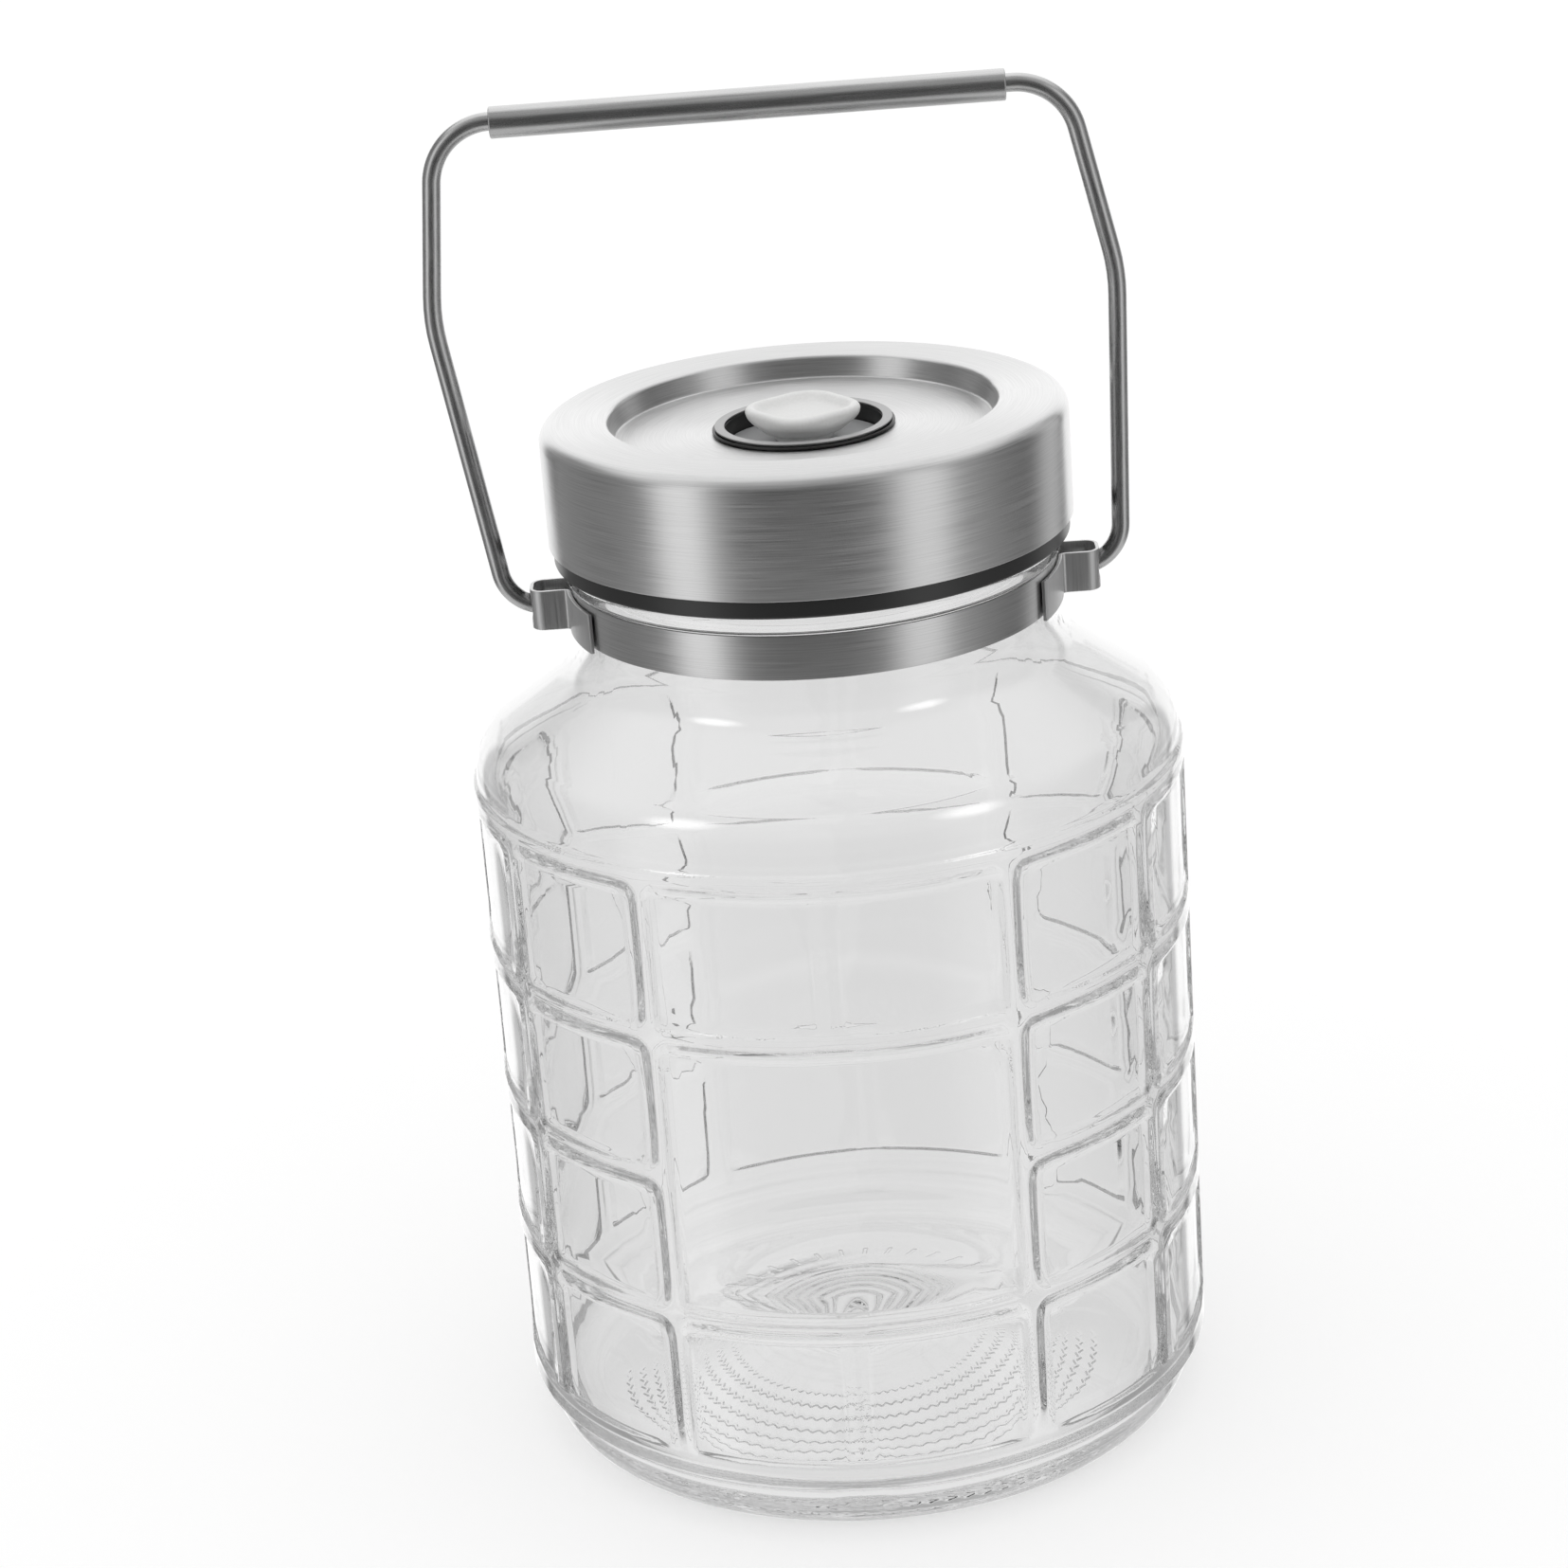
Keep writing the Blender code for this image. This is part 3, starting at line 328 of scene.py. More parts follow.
class SteelSettings(bpy.types.PropertyGroup):
    """Sizes and colours of the steel pieces."""

    shell_wall: length("Sheet", "Thickness of the lid's sheet", 0.0005)
    lid_edge: length("Lid edge", "Radius of the lid's upper edge", 0.0034)
    recess_radius: length("Recess radius", "Radius of the rim of the dish in the lid", 0.04085)
    recess_taper: length("Recess taper", "How far the dish's wall leans in", 0.0012)
    recess_depth: length("Recess depth", "Depth of the dish in the lid", 0.0047)
    wire_radius: length("Wire radius", "Radius of the bail's wire", 0.0019)
    bail_height: length("Bail height", "Height of the wire's top above its pivot", 0.1029)
    kink_height: length("Elbow height", "Height of the elbow above the pivot", 0.0628)
    bail_lean: length("Bail lean", "Sideways play of the bail at its top", 0.00675)
    ear_strip: length("Ear strip", "Thickness of the ears' strip", 0.0008)
    ear_width: length("Ear width", "Width of an ear across its two walls", 0.0092)
    steel: colour("Steel", "Colour of the brushed stainless steel", "#D2D2D2")
    wire_steel: colour("Wire steel", "Colour of the drawn stainless wire", "#C4C4C4")
    trim_steel: colour("Trim steel", "Colour of the satin trim ring", "#A6A6A6")
    roughness: factor("Roughness", "Roughness of the brushed steel", 0.33)


class LidPlasticSettings(bpy.types.PropertyGroup):
    """Colours of the lid's plastic and silicone pieces."""

    black: colour("Black", "Colour of the liner and the cup", "#1E1E1E")
    white: colour("White", "Colour of the knob", "#E0E0DF")
    grey: colour("Grey", "Colour of the disc under the knob", "#A9AAAB")
    clear: colour("Clear silicone", "Colour of the seals", "#DADADA")
    knob_lobe: length("Knob lobe", "How far a lobe stands out of the knob's circle", 0.0008)
    knob_radius: length("Knob radius", "Mean radius of the knob's top", 0.0112)
    knob_base: length("Knob base", "Radius of the flat underside of the knob's bowl", 0.0084)
    knob_hub: length("Knob hub", "Radius of the hub under the knob's bowl", 0.0062)
    knob_hub_height: length("Knob hub height", "Height of the hub", 0.0019)
    knob_turn: angle("Knob turn", "Direction of the first lobe", -10.0)


class StageSettings(bpy.types.PropertyGroup):
    """Floor, light and camera."""

    floor_size: length("Floor size", "Side of the floor", 12.0)
    floor: colour("Floor", "Colour of the floor", "#AAAAAA")
    lens: FloatProperty(name="Lens", description="Focal length in mm on a 36 mm sensor", default=86.63)
    camera_distance: length("Camera distance", "Distance of the camera in front of the axis", 0.76154)
    camera_height: length("Camera height", "Height of the camera over the floor", 0.4292)
    camera_yaw: angle("Camera yaw", "Turn of the camera to the left", math.degrees(0.0129))
    camera_pitch: angle("Camera pitch", "Tilt of the camera down", math.degrees(0.3597))
    camera_roll: angle("Camera roll", "Roll of the camera", math.degrees(-0.0768))


# Shapes


def filleted(corners, closed=True, turn_step=math.radians(10.0)):
    """An outline through corners (x, y, radius). Each corner with a radius is an arc tangent to both sides:
    centre = corner + bisector * radius / sin(half angle), from one tangent point to the other."""
    corner = np.array([row[:2] for row in corners], float)
    radii = np.array([row[2] for row in corners], float)
    count = len(corners)
    pieces = []
    for index in range(count):
        if radii[index] == 0 or (not closed and index in (0, count - 1)):
            pieces.append(corner[index][None, :])
            continue
        back = corner[index - 1] - corner[index]
        ahead = corner[(index + 1) % count] - corner[index]
        back /= np.linalg.norm(back)
        ahead /= np.linalg.norm(ahead)
        half = math.acos(float(np.clip(back @ ahead, -1.0, 1.0))) / 2
        bisector = back + ahead
        bisector /= np.linalg.norm(bisector)
        centre = corner[index] + bisector * radii[index] / math.sin(half)
        reach = radii[index] / math.tan(half)
        first = corner[index] + back * reach - centre
        last = corner[index] + ahead * reach - centre
        start = math.atan2(first[1], first[0])
        turn = math.atan2(first[0] * last[1] - first[1] * last[0], first @ last)
        steps = max(2, math.ceil(abs(turn) / turn_step))
        directions = start + turn * np.linspace(0, 1, steps + 1)
        arc = np.stack([np.cos(directions), np.sin(directions)], -1) * radii[index]
        pieces.append(centre + arc)
    return np.concatenate(pieces)


def dense_lines(layers, low, high, coarse):
    """Grid lines from low to high, coarse apart, and closer where a layer (centres, reach, spacing) asks for
    it. The density 1 / spacing, times 1 / (1 + exp(edge)) at a layer's edge, is summed along the line, and
    the lines divide the sum into equal parts."""
    place = np.linspace(low, high, LAYER_SAMPLES)
    density = np.full_like(place, 1 / coarse)
    for centres, reach, spacing in layers:
        nearest = np.min(np.abs(place[:, None] - np.asarray(centres)[None, :]), axis=1)
        edge = (nearest - reach) / (reach * LAYER_EDGE_SHARE)
        inside = 1 / (1 + np.exp(np.clip(edge, -60, 60)))
        density = np.maximum(density, inside / spacing)
    total = np.concatenate([[0], np.cumsum((density[1:] + density[:-1]) / 2 * np.diff(place))])
    count = math.ceil(total[-1])
    return np.interp(np.linspace(0, total[-1], count + 1), total, place)


def rib_layers(settings, centres):
    """Close grid lines on both flanks of each rib, and fairly close ones over the whole of its hollow."""
    centres = np.asarray(centres)
    reach = (settings.rib_width - settings.rib_flank) / 2
    flanks = np.concatenate([centres - reach, centres + reach])
    return [(flanks, settings.rib_flank * FLANK_REACH_SHARE, settings.rib_flank * FLANK_SPACING_SHARE),
            (centres, settings.rib_width * RIB_REACH_SHARE, settings.rib_width * RIB_SPACING_SHARE)]


def smooth_step(share):
    """0 below 0, 1 above 1, and half a cosine wave between."""
    return (1 - np.cos(np.pi * np.clip(share, 0, 1))) / 2


def even_step(share, rounding=0.15):
    """0 below 0 and 1 above 1, an even slope between, and its two ends rounded by parabolas."""
    share = np.clip(share, 0, 1)
    slope = 1 / (1 - rounding)
    start = slope * share ** 2 / (2 * rounding)
    middle = slope * (share - rounding / 2)
    end = 1 - slope * (1 - share) ** 2 / (2 * rounding)
    return np.where(share < rounding, start, np.where(share > 1 - rounding, end, middle))


def make_grid(name, points, across, along, closed_rows=False, start_pole=False, end_pole=False):
    """A mesh over points[row, column], closed round the columns. across and along are the texture lengths
    of the columns and the rows. A pole replaces the first or last row by its middle. Faces are turned
    outwards by the sign of the enclosed volume, the sum of a . (b x c) over the triangles."""
    rows, columns = points.shape[:2]
    row = np.arange(rows if closed_rows else rows - 1)
    column = np.arange(columns)
    i, j = (grid.ravel() for grid in np.meshgrid(row, column, indexing="ij"))
    i_corner = np.stack([i, i + 1, i + 1, i], -1)
    j_corner = np.stack([j, j, j + 1, j + 1], -1)
    faces = (i_corner % rows) * columns + j_corner % columns
    texture = np.stack([across[j_corner], along[i_corner]], -1)
    vertices = points.reshape(-1, 3)
    fans = []
    for wanted, edge_row, middle_along in ((start_pole, 0, along[0]), (end_pole, rows - 1, along[rows - 1])):
        if not wanted:
            continue
        middle = len(vertices)
        vertices = np.concatenate([vertices, points[edge_row].mean(axis=0)[None, :]])
        ring = edge_row * columns + np.stack([column, (column + 1) % columns], -1)
        fan = np.concatenate([np.full((columns, 1), middle), ring], axis=1)
        fan = fan if edge_row == 0 else fan[:, ::-1]
        centre_texture = np.stack([across[:-1], np.full(columns, middle_along)], -1)
        fans.append((fan, np.repeat(centre_texture[:, None, :], 3, axis=1)))
    a, b, c, d = (vertices[faces[:, k]] for k in range(4))
    volume = np.einsum("ij,ij->", a, np.cross(b, c)) + np.einsum("ij,ij->", a, np.cross(c, d))
    for fan, _ in fans:
        p, q, r = (vertices[fan[:, k]] for k in range(3))
        volume += np.einsum("ij,ij->", p, np.cross(q, r))
    step = -1 if volume < 0 else 1
    all_faces = faces[:, ::step].tolist()
    all_texture = [texture[:, ::step].reshape(-1, 2)]
    for fan, fan_texture in fans:
        all_faces += fan[:, ::step].tolist()
        all_texture.append(fan_texture.reshape(-1, 2))
    mesh = bpy.data.meshes.new(name)
    mesh.from_pydata(vertices.tolist(), [], all_faces)
    layer = mesh.uv_layers.new(name="surface")
    layer.data.foreach_set("uv", np.concatenate(all_texture).astype(np.float32).ravel())
    mesh.shade_smooth()
    mesh.set_sharp_from_angle(angle=SHARP_EDGE)
    piece = bpy.data.objects.new(name, mesh)
    bpy.context.scene.collection.objects.link(piece)
    return piece


def path_length(points, closed=False):
    """Distance along points, from the first one, with the closing step as well if closed."""
    steps = np.linalg.norm(np.diff(points, axis=0), axis=-1)
    if closed:
        steps = np.append(steps, np.linalg.norm(points[0] - points[-1]))
    return np.concatenate([[0], np.cumsum(steps)])


def turned(name, corners, steps=160):
    """A closed section turned round Z: a point is (r cos t, r sin t, z), with t the angle."""
    section = filleted(corners)
    turn = np.linspace(0, 2 * np.pi, steps, endpoint=False)
    points = np.stack([section[:, None, 0] * np.cos(turn), section[:, None, 0] * np.sin(turn),
                       np.repeat(section[:, 1:], steps, axis=1)], -1)
    across = np.linspace(0, 2 * np.pi, steps + 1) * section[:, 0].max()
    return make_grid(name, points, across, path_length(section, True), closed_rows=True)


def swept(name, path, normal, binormal, section, rounding):
    """A section carried along a path: a point is path + x * normal + y * binormal. Both ends are rounded:
    the section shrinks by rounding * (1 - sin t) where it stands rounding * (1 - cos t) from the end."""
    tangent = np.gradient(path, axis=0)
    tangent /= np.linalg.norm(tangent, axis=1, keepdims=True)
    bend = np.linspace(0, np.pi / 2, 5)
    set_in = rounding * (1 - np.cos(bend))
    shrink = rounding * (1 - np.sin(bend))
    start = path[0] + tangent[0] * set_in[:, None]
    end = path[-1] - tangent[-1] * set_in[::-1, None]
    line = np.concatenate([start, path[1:-1], end])
    side = np.concatenate([np.repeat(normal[:1], 5, axis=0), normal[1:-1], np.repeat(normal[-1:], 5, axis=0)])
    loss = np.concatenate([shrink, np.zeros(len(path) - 2), shrink[::-1]])
    half = np.abs(section).max(axis=0)
    scale = 1 - loss[:, None] / half[None, :]
    shaped = section[None, :, :] * scale[:, None, :]
    points = line[:, None, :] + shaped[..., :1] * side[:, None, :] + shaped[..., 1:] * binormal
    return make_grid(name, points, path_length(section, True), path_length(line), start_pole=True,
                     end_pole=True)


def panel_distance(settings, width, turn, height, rings):
    """Distance from the nearest panel's edge on the unrolled glass, positive outside the panel. A panel is a
    rectangle with rounded corners: with q = |p - centre| - half + corner radius, the distance is
    |max(q, 0)| + min(max(q.x, q.y), 0) - corner radius. The front and the back each have a window panel that
    spans two columns and two rows."""
    column = 2 * np.pi / settings.columns
    half_rib = width / 2
    place = np.mod(turn + np.pi / 2 + column / 2, 2 * np.pi) - column / 2
    index = np.floor(place / column)
    middle_turn = (index + 0.5) * column
    half_width = np.full_like(place, column / 2 * settings.body_radius - half_rib)
    row = np.clip(np.searchsorted(rings, height) - 1, 0, len(rings) - 2)
    low, high = rings[row], rings[row + 1]
    half_circle = settings.columns // 2
    beside_window = np.isin(np.mod(index, half_circle), (0, half_circle - 1))
    window = beside_window & (height > rings[1]) & (height < rings[3])
    middle_turn = np.where(window, np.round(place / np.pi) * np.pi, middle_turn)
    half_width = np.where(window, column * settings.body_radius - half_rib, half_width)
    low = np.where(window, rings[1], low)
    high = np.where(window, rings[3], high)
    off = np.stack([np.abs(place - middle_turn) * settings.body_radius - half_width,
                    np.abs(height - (low + high) / 2) - (high - low) / 2 + half_rib], -1)
    off = off + settings.panel_corner
    inner = np.minimum(off.max(axis=-1), 0)
    return np.linalg.norm(np.maximum(off, 0), axis=-1) + inner - settings.panel_corner


def lattice_relief(settings, width, flank, step, turn, height):
    """Height of the raised lattice, 0 on a panel and 1 on a crest. It climbs over one flank's width, along
    the curve that step gives. Away from the rings, the ribs on the mould's seam keep only a share of it."""
    rings = RING_HEIGHTS
    distance = panel_distance(settings, width, turn, height, rings)
    half_rib = width / 2
    relief = np.where((height > rings[0]) & (height < rings[-1]), step(distance / flank), 1.0)
    relief = relief * step((rings[-1] + half_rib - height) / flank)
    nearest_ring = np.min(np.abs(height[..., None] - rings), axis=-1)
    off_ring = smooth_step((nearest_ring - half_rib + flank) / flank)
    from_seam = np.abs((turn + np.pi / 2 + np.pi / 2) % np.pi - np.pi / 2) * settings.body_radius
    on_seam = smooth_step((width - from_seam) / flank)
    return relief * (1 - (1 - settings.seam_share) * off_ring * on_seam)


def shoulder_section(settings, inward, radial_steps=10):
    """Neck fillet, straight slope and shoulder round, set in from the outer face by inward, top to bottom."""
    slope = settings.shoulder_slope
    lean = np.array([math.sin(slope), math.cos(slope)])
    centre = np.array([settings.body_radius - settings.shoulder_radius, settings.shoulder_height])
    foot = centre + settings.shoulder_radius * lean
    fillet_radius = settings.neck_radius + settings.neck_fillet
    head_radius = fillet_radius - settings.neck_fillet * lean[0]
    head_height = foot[1] + (foot[0] - head_radius) * math.tan(slope)
    fillet_centre = np.array([fillet_radius, head_height + settings.neck_fillet * lean[1]])
    bend = np.linspace(np.pi, 1.5 * np.pi - slope, radial_steps)
    fillet = fillet_centre + (settings.neck_fillet + inward) * np.stack([np.cos(bend), np.sin(bend)], -1)
    turn = np.linspace(np.pi / 2 - slope, 0, radial_steps + 4)
    round_over = centre + (settings.shoulder_radius - inward) * np.stack([np.cos(turn), np.sin(turn)], -1)
    share = np.linspace(0, 1, 7)[1:-1, None]
    straight = fillet[-1] * (1 - share) + round_over[0] * share
    return np.concatenate([fillet, straight, round_over])


def dome_section(settings, edge_radius, edge_height, step):
    """Half of a bell shaped dome, from outside to inside: z = edge height + dome height * (1 + cos(pi * r /
    edge radius)) / 2. The rows are a step apart under the base's rings and three steps apart outside them."""
    fine = np.arange(step * 0.4, settings.rings_end, step)
    coarse = np.arange(settings.rings_end + step, edge_radius - step, 3 * step)
    radius = np.append(np.concatenate([fine, coarse]), edge_radius)[::-1]
    height = edge_height + settings.dome_height * (1 + np.cos(np.pi * radius / edge_radius)) / 2
    return np.stack([radius, height], -1)


def glass_section(settings):
    """The whole section of the glass as (r, z) rows: floor, inner wall, mouth, outer wall and underside. The
    second value is the number of rows before the mouth."""
    corner = settings.inner_corner
    corner_centre = (settings.body_radius - settings.wall - corner, settings.base_wall + corner)
    bend = np.linspace(0.0, -np.pi / 2, 11)[:-1]
    inner_corner = np.array(corner_centre) + corner * np.stack([np.cos(bend), np.sin(bend)], -1)
    inner_floor = dome_section(settings, corner_centre[0], settings.base_wall, FLOOR_SPACING)
    inner_floor = np.concatenate([inner_corner, inner_floor])[::-1]
    centres = RING_HEIGHTS[1:]
    hollows = [(centres, settings.hollow_width * RIB_REACH_SHARE, settings.hollow_width * RIB_SPACING_SHARE)]
    heights = dense_lines(hollows, corner_centre[1], settings.shoulder_height, ROW_SPACING)[1:-1]
    inner_wall = np.stack([np.full_like(heights, settings.body_radius - settings.wall), heights], -1)
    inner = [inner_floor, inner_wall, shoulder_section(settings, settings.wall, 6)[::-1]]
    bore = settings.neck_radius - settings.wall
    bead_top = BEAD_BOTTOM + settings.bead_height
    finish = settings.finish_radius
    mouth = filleted([(bore, BEAD_BOTTOM, 0), (bore, RIM_HEIGHT, RIM_INNER_ROUND),
                      (finish, RIM_HEIGHT, RIM_OUTER_ROUND), (finish, RIM_HEIGHT - RIM_LIP, 0)], closed=False)
    thread_top = RIM_HEIGHT - RIM_LIP - THREAD_ROW_MARGIN
    threaded = np.stack([np.full(THREAD_ROWS, finish),
                         np.linspace(thread_top, bead_top + THREAD_ROW_MARGIN, THREAD_ROWS)], -1)
    bead = filleted([(finish, bead_top + FINISH_FOOT_RUN, 0), (finish, bead_top, BEAD_TOP_FILLET),
                     (settings.bead_radius, bead_top, BEAD_ROUND),
                     (settings.bead_radius, BEAD_BOTTOM, BEAD_ROUND),
                     (settings.neck_radius, BEAD_BOTTOM, BEAD_FOOT_FILLET),
                     (settings.neck_radius, BEAD_BOTTOM - BEAD_FOOT_RUN, 0)],
                    closed=False, turn_step=math.radians(18.0))
    shoulder = shoulder_section(settings, 0.0)
    step_middle = settings.heel_step_top - settings.heel_step_height / 2
    heel_layer = ([step_middle], settings.heel_step_height * HEEL_REACH_SHARE, HEEL_SPACING)
    layers = rib_layers(settings, RING_HEIGHTS) + [heel_layer]
    heights = dense_lines(layers, settings.heel_radius, shoulder[-1, 1], ROW_SPACING)[::-1]
    outer_wall = np.stack([np.full_like(heights, settings.body_radius), heights], -1)[1:]
    heel_bend = np.linspace(0, -np.pi / 2, 12)[1:]
    heel_centre = settings.body_radius - settings.heel_inset - settings.heel_radius
    heel = np.stack([heel_centre + settings.heel_radius * np.cos(heel_bend),
                     settings.heel_radius * (1 + np.sin(heel_bend))], -1)
    underside = dome_section(settings, settings.dome_edge, 0.0, settings.ring_pitch / ROWS_IN_A_BASE_RING)
    outer = [mouth, threaded, bead, shoulder, outer_wall, heel, underside]
    return np.concatenate(inner + outer), sum(len(part) for part in inner)


def glass_points(settings):
    """Points of the glass on a grid of section rows and turns. The outer wall takes the lattice, the inner
    wall the soft hollows behind it, the finish its screw thread and the underside its rings. A thread's ridge
    is (1 - (2 * off / width)^2)^bluntness high, with off the distance from its middle line."""
    section, inner_count = glass_section(settings)
    column = 2 * np.pi / settings.columns
    ribs = (np.arange(settings.columns + 1) * column - np.pi / 2) * settings.body_radius
    lines = dense_lines(rib_layers(settings, ribs), ribs[0], ribs[-1], COLUMN_SPACING)[:-1]
    lines = lines / settings.body_radius
    turn = np.broadcast_to(lines[None, :], (len(section), len(lines)))
    radius = np.repeat(section[:, :1], len(lines), axis=1)
    height = np.repeat(section[:, 1:], len(lines), axis=1)
    outer = np.arange(len(section))[:, None] >= inner_count
    wall = outer & (radius > settings.body_radius - SLACK) & (height < settings.shoulder_height)
    relief = lattice_relief(settings, settings.rib_width, settings.rib_flank, smooth_step, turn, height)
    flank = np.where(wall, 4 * relief * (1 - relief), 0.0)
    radius = radius + np.where(wall, settings.rib_proud * relief, 0.0)
    inner_wall = ~outer & (radius > settings.body_radius - settings.wall - SLACK)
    hollow = lattice_relief(settings, settings.hollow_width, settings.hollow_flank, even_step, turn, height)
    hollow = hollow * smooth_step((height - HOLLOW_START) / HOLLOW_FADE_IN)
    hollow = hollow * smooth_step((settings.shoulder_height - height) / HOLLOW_FADE_OUT)
    radius = radius + np.where(inner_wall, settings.hollow_depth * hollow, 0.0)
    below_ring = settings.heel_step_top - height
    step_in = (settings.heel_step + settings.rib_proud) * smooth_step(below_ring / settings.heel_step_height)
    slope_in = (settings.heel_inset - settings.heel_step) * smooth_step(below_ring / HEEL_SLOPE_HEIGHT)
    radius = radius - np.where(wall, step_in + slope_in, 0.0)
    bead_top = BEAD_BOTTOM + settings.bead_height
    climb = (height - bead_top - THREAD_START) / settings.thread_pitch
    nearest = np.round(climb - turn / (2 * np.pi))
    along = turn / (2 * np.pi) + nearest
    off = (climb - along) * settings.thread_pitch
    ridge = np.clip(1 - (off / (settings.thread_width / 2)) ** 2, 0, None) ** THREAD_BLUNTNESS
    starts = smooth_step((along + THREAD_LEAD) / THREAD_RUN_OUT)
    ends = smooth_step((THREAD_TURNS - along) / THREAD_RUN_OUT)
    finish = outer & (height > bead_top) & (radius < settings.finish_radius + SLACK)
    finish = finish & (height < RIM_HEIGHT - RIM_LIP)
    radius = radius + np.where(finish, settings.thread_proud * ridge * starts * ends, 0.0)
    heel_centre = settings.body_radius - settings.heel_inset - settings.heel_radius
    under = outer & (radius <= heel_centre + SLACK) & (height < RING_HEIGHTS[1])
    rings = np.cos(2 * np.pi * radius / settings.ring_pitch)
    rings = rings * smooth_step((settings.rings_end - radius) / BASE_RING_FADE)
    height = height + np.where(under, settings.ring_depth * rings, 0.0)
    toward_rings = smooth_step((settings.dome_edge - radius) / (settings.dome_edge - settings.rings_end))
    shift = np.where(under, BASE_RINGS_CENTRE * toward_rings, 0.0)
    turned_by = turn + settings.lattice_turn
    points = np.stack([radius * np.cos(turned_by) + shift, radius * np.sin(turned_by), height], -1)
    across = np.append(lines, lines[0] + 2 * np.pi) * settings.body_radius
    return points, across, path_length(section), flank, under.astype(float)


# Materials


def add_node(tree, kind, inputs=None, **settings):
    """Add one node and set its properties. Each input takes a value, or a link where it is given a socket."""
    node = tree.nodes.new(kind)
    for name, value in settings.items():
        setattr(node, name, value)
    for name, value in (inputs or {}).items():
        if isinstance(value, bpy.types.NodeSocket):
            tree.links.new(value, node.inputs[name])
        else:
            node.inputs[name].default_value = value
    return node


def new_material(name):
    """An empty node material and its output node."""
    material = bpy.data.materials.new(name)
    material.use_nodes = True
    material.node_tree.nodes.clear()
    return material, material.node_tree, material.node_tree.nodes.new("ShaderNodeOutputMaterial")


def base_pattern(tree, settings, place):
    """Height in millimetres of the mould's fine marks under the base. With r the distance from the rings'
    middle and t the turn round it, a groove lies where (r - start) / pitch + sway * sin(waves * t) is a whole
    number, a ridge across the grooves where cos(ticks * t) is near 1, and a knurl where cos(knurls * t) is
    near 1. Each mark is multiplied by the smooth steps of its rows (value, low, high, share below low)."""
    to_middle = add_node(tree, "ShaderNodeVectorMath", {0: place, 1: (BASE_RINGS_CENTRE, 0.0, 0.0)},
                         operation="SUBTRACT")
    flat = add_node(tree, "ShaderNodeVectorMath", {0: to_middle.outputs[0], 1: (1.0, 1.0, 0.0)},
                    operation="MULTIPLY").outputs[0]
    radius = add_node(tree, "ShaderNodeVectorMath", {0: flat}, operation="LENGTH").outputs["Value"]
    axes = add_node(tree, "ShaderNodeSeparateXYZ", {0: flat}).outputs
    turn = add_node(tree, "ShaderNodeMath", {0: axes["Y"], 1: axes["X"]}, operation="ARCTAN2").outputs[0]
    round_turn = []
    for count, curve in ((settings.waves, "SINE"), (settings.ticks, "COSINE"), (settings.knurls, "COSINE")):
        turns = add_node(tree, "ShaderNodeMath", {0: turn, 1: float(count)}, operation="MULTIPLY")
        round_turn.append(add_node(tree, "ShaderNodeMath", {0: turns.outputs[0]}, operation=curve).outputs[0])
    wave, tick, knurl = round_turn
    start = settings.rings_end
    edge = settings.dome_edge
    off_line = radius
    for operation, number in (("SUBTRACT", start + FIRST_GROOVE), ("DIVIDE", settings.groove_pitch)):
        off_line = add_node(tree, "ShaderNodeMath", {0: off_line, 1: number}, operation=operation).outputs[0]
    off_line = add_node(tree, "ShaderNodeMath", {0: wave, 1: GROOVE_SWAY, 2: off_line},
                        operation="MULTIPLY_ADD").outputs[0]
    for operation, number in (("PINGPONG", 0.5), ("MULTIPLY", settings.groove_pitch)):
        off_line = add_node(tree, "ShaderNodeMath", {0: off_line, 1: number}, operation=operation).outputs[0]
    marks = (
        (-settings.groove_depth, (
            (off_line, 0.0, settings.groove_width / 2, 1.0), (radius, start, start + GROOVE_FADE_IN, 0.0),
            (radius, edge - GROOVE_FADE_OUT[0], edge - GROOVE_FADE_OUT[1], 1.0),
            (axes["Y"], *GROOVE_FRONT, 1.0))),
        (settings.tick_height, (
            (tick, *TICK_EDGES, 0.0), (radius, *TICK_START, 0.0), (radius, *TICK_END, 1.0),
            (axes["Y"], *TICK_BACK, 0.0))),
        (KNURL_HEIGHT, (
            (knurl, *KNURL_EDGES, 0.0), (radius, edge + KNURL_START[0], edge + KNURL_START[1], 0.0),
            (radius, edge + KNURL_END[0], edge + KNURL_END[1], 1.0))))
    total = 0.0
    for mark_height, rows in marks:
        mark = mark_height * MILLIMETRES
        for value, low, high, before in rows:
            share = add_node(tree, "ShaderNodeMapRange", {"Value": value, "From Min": low, "From Max": high,
                                                          "To Min": before, "To Max": 1.0 - before},
                             interpolation_type="SMOOTHSTEP").outputs["Result"]
            mark = add_node(tree, "ShaderNodeMath", {0: share, 1: mark}, operation="MULTIPLY").outputs[0]
        total = add_node(tree, "ShaderNodeMath", {0: mark, 1: total}, operation="ADD").outputs[0]
    return total


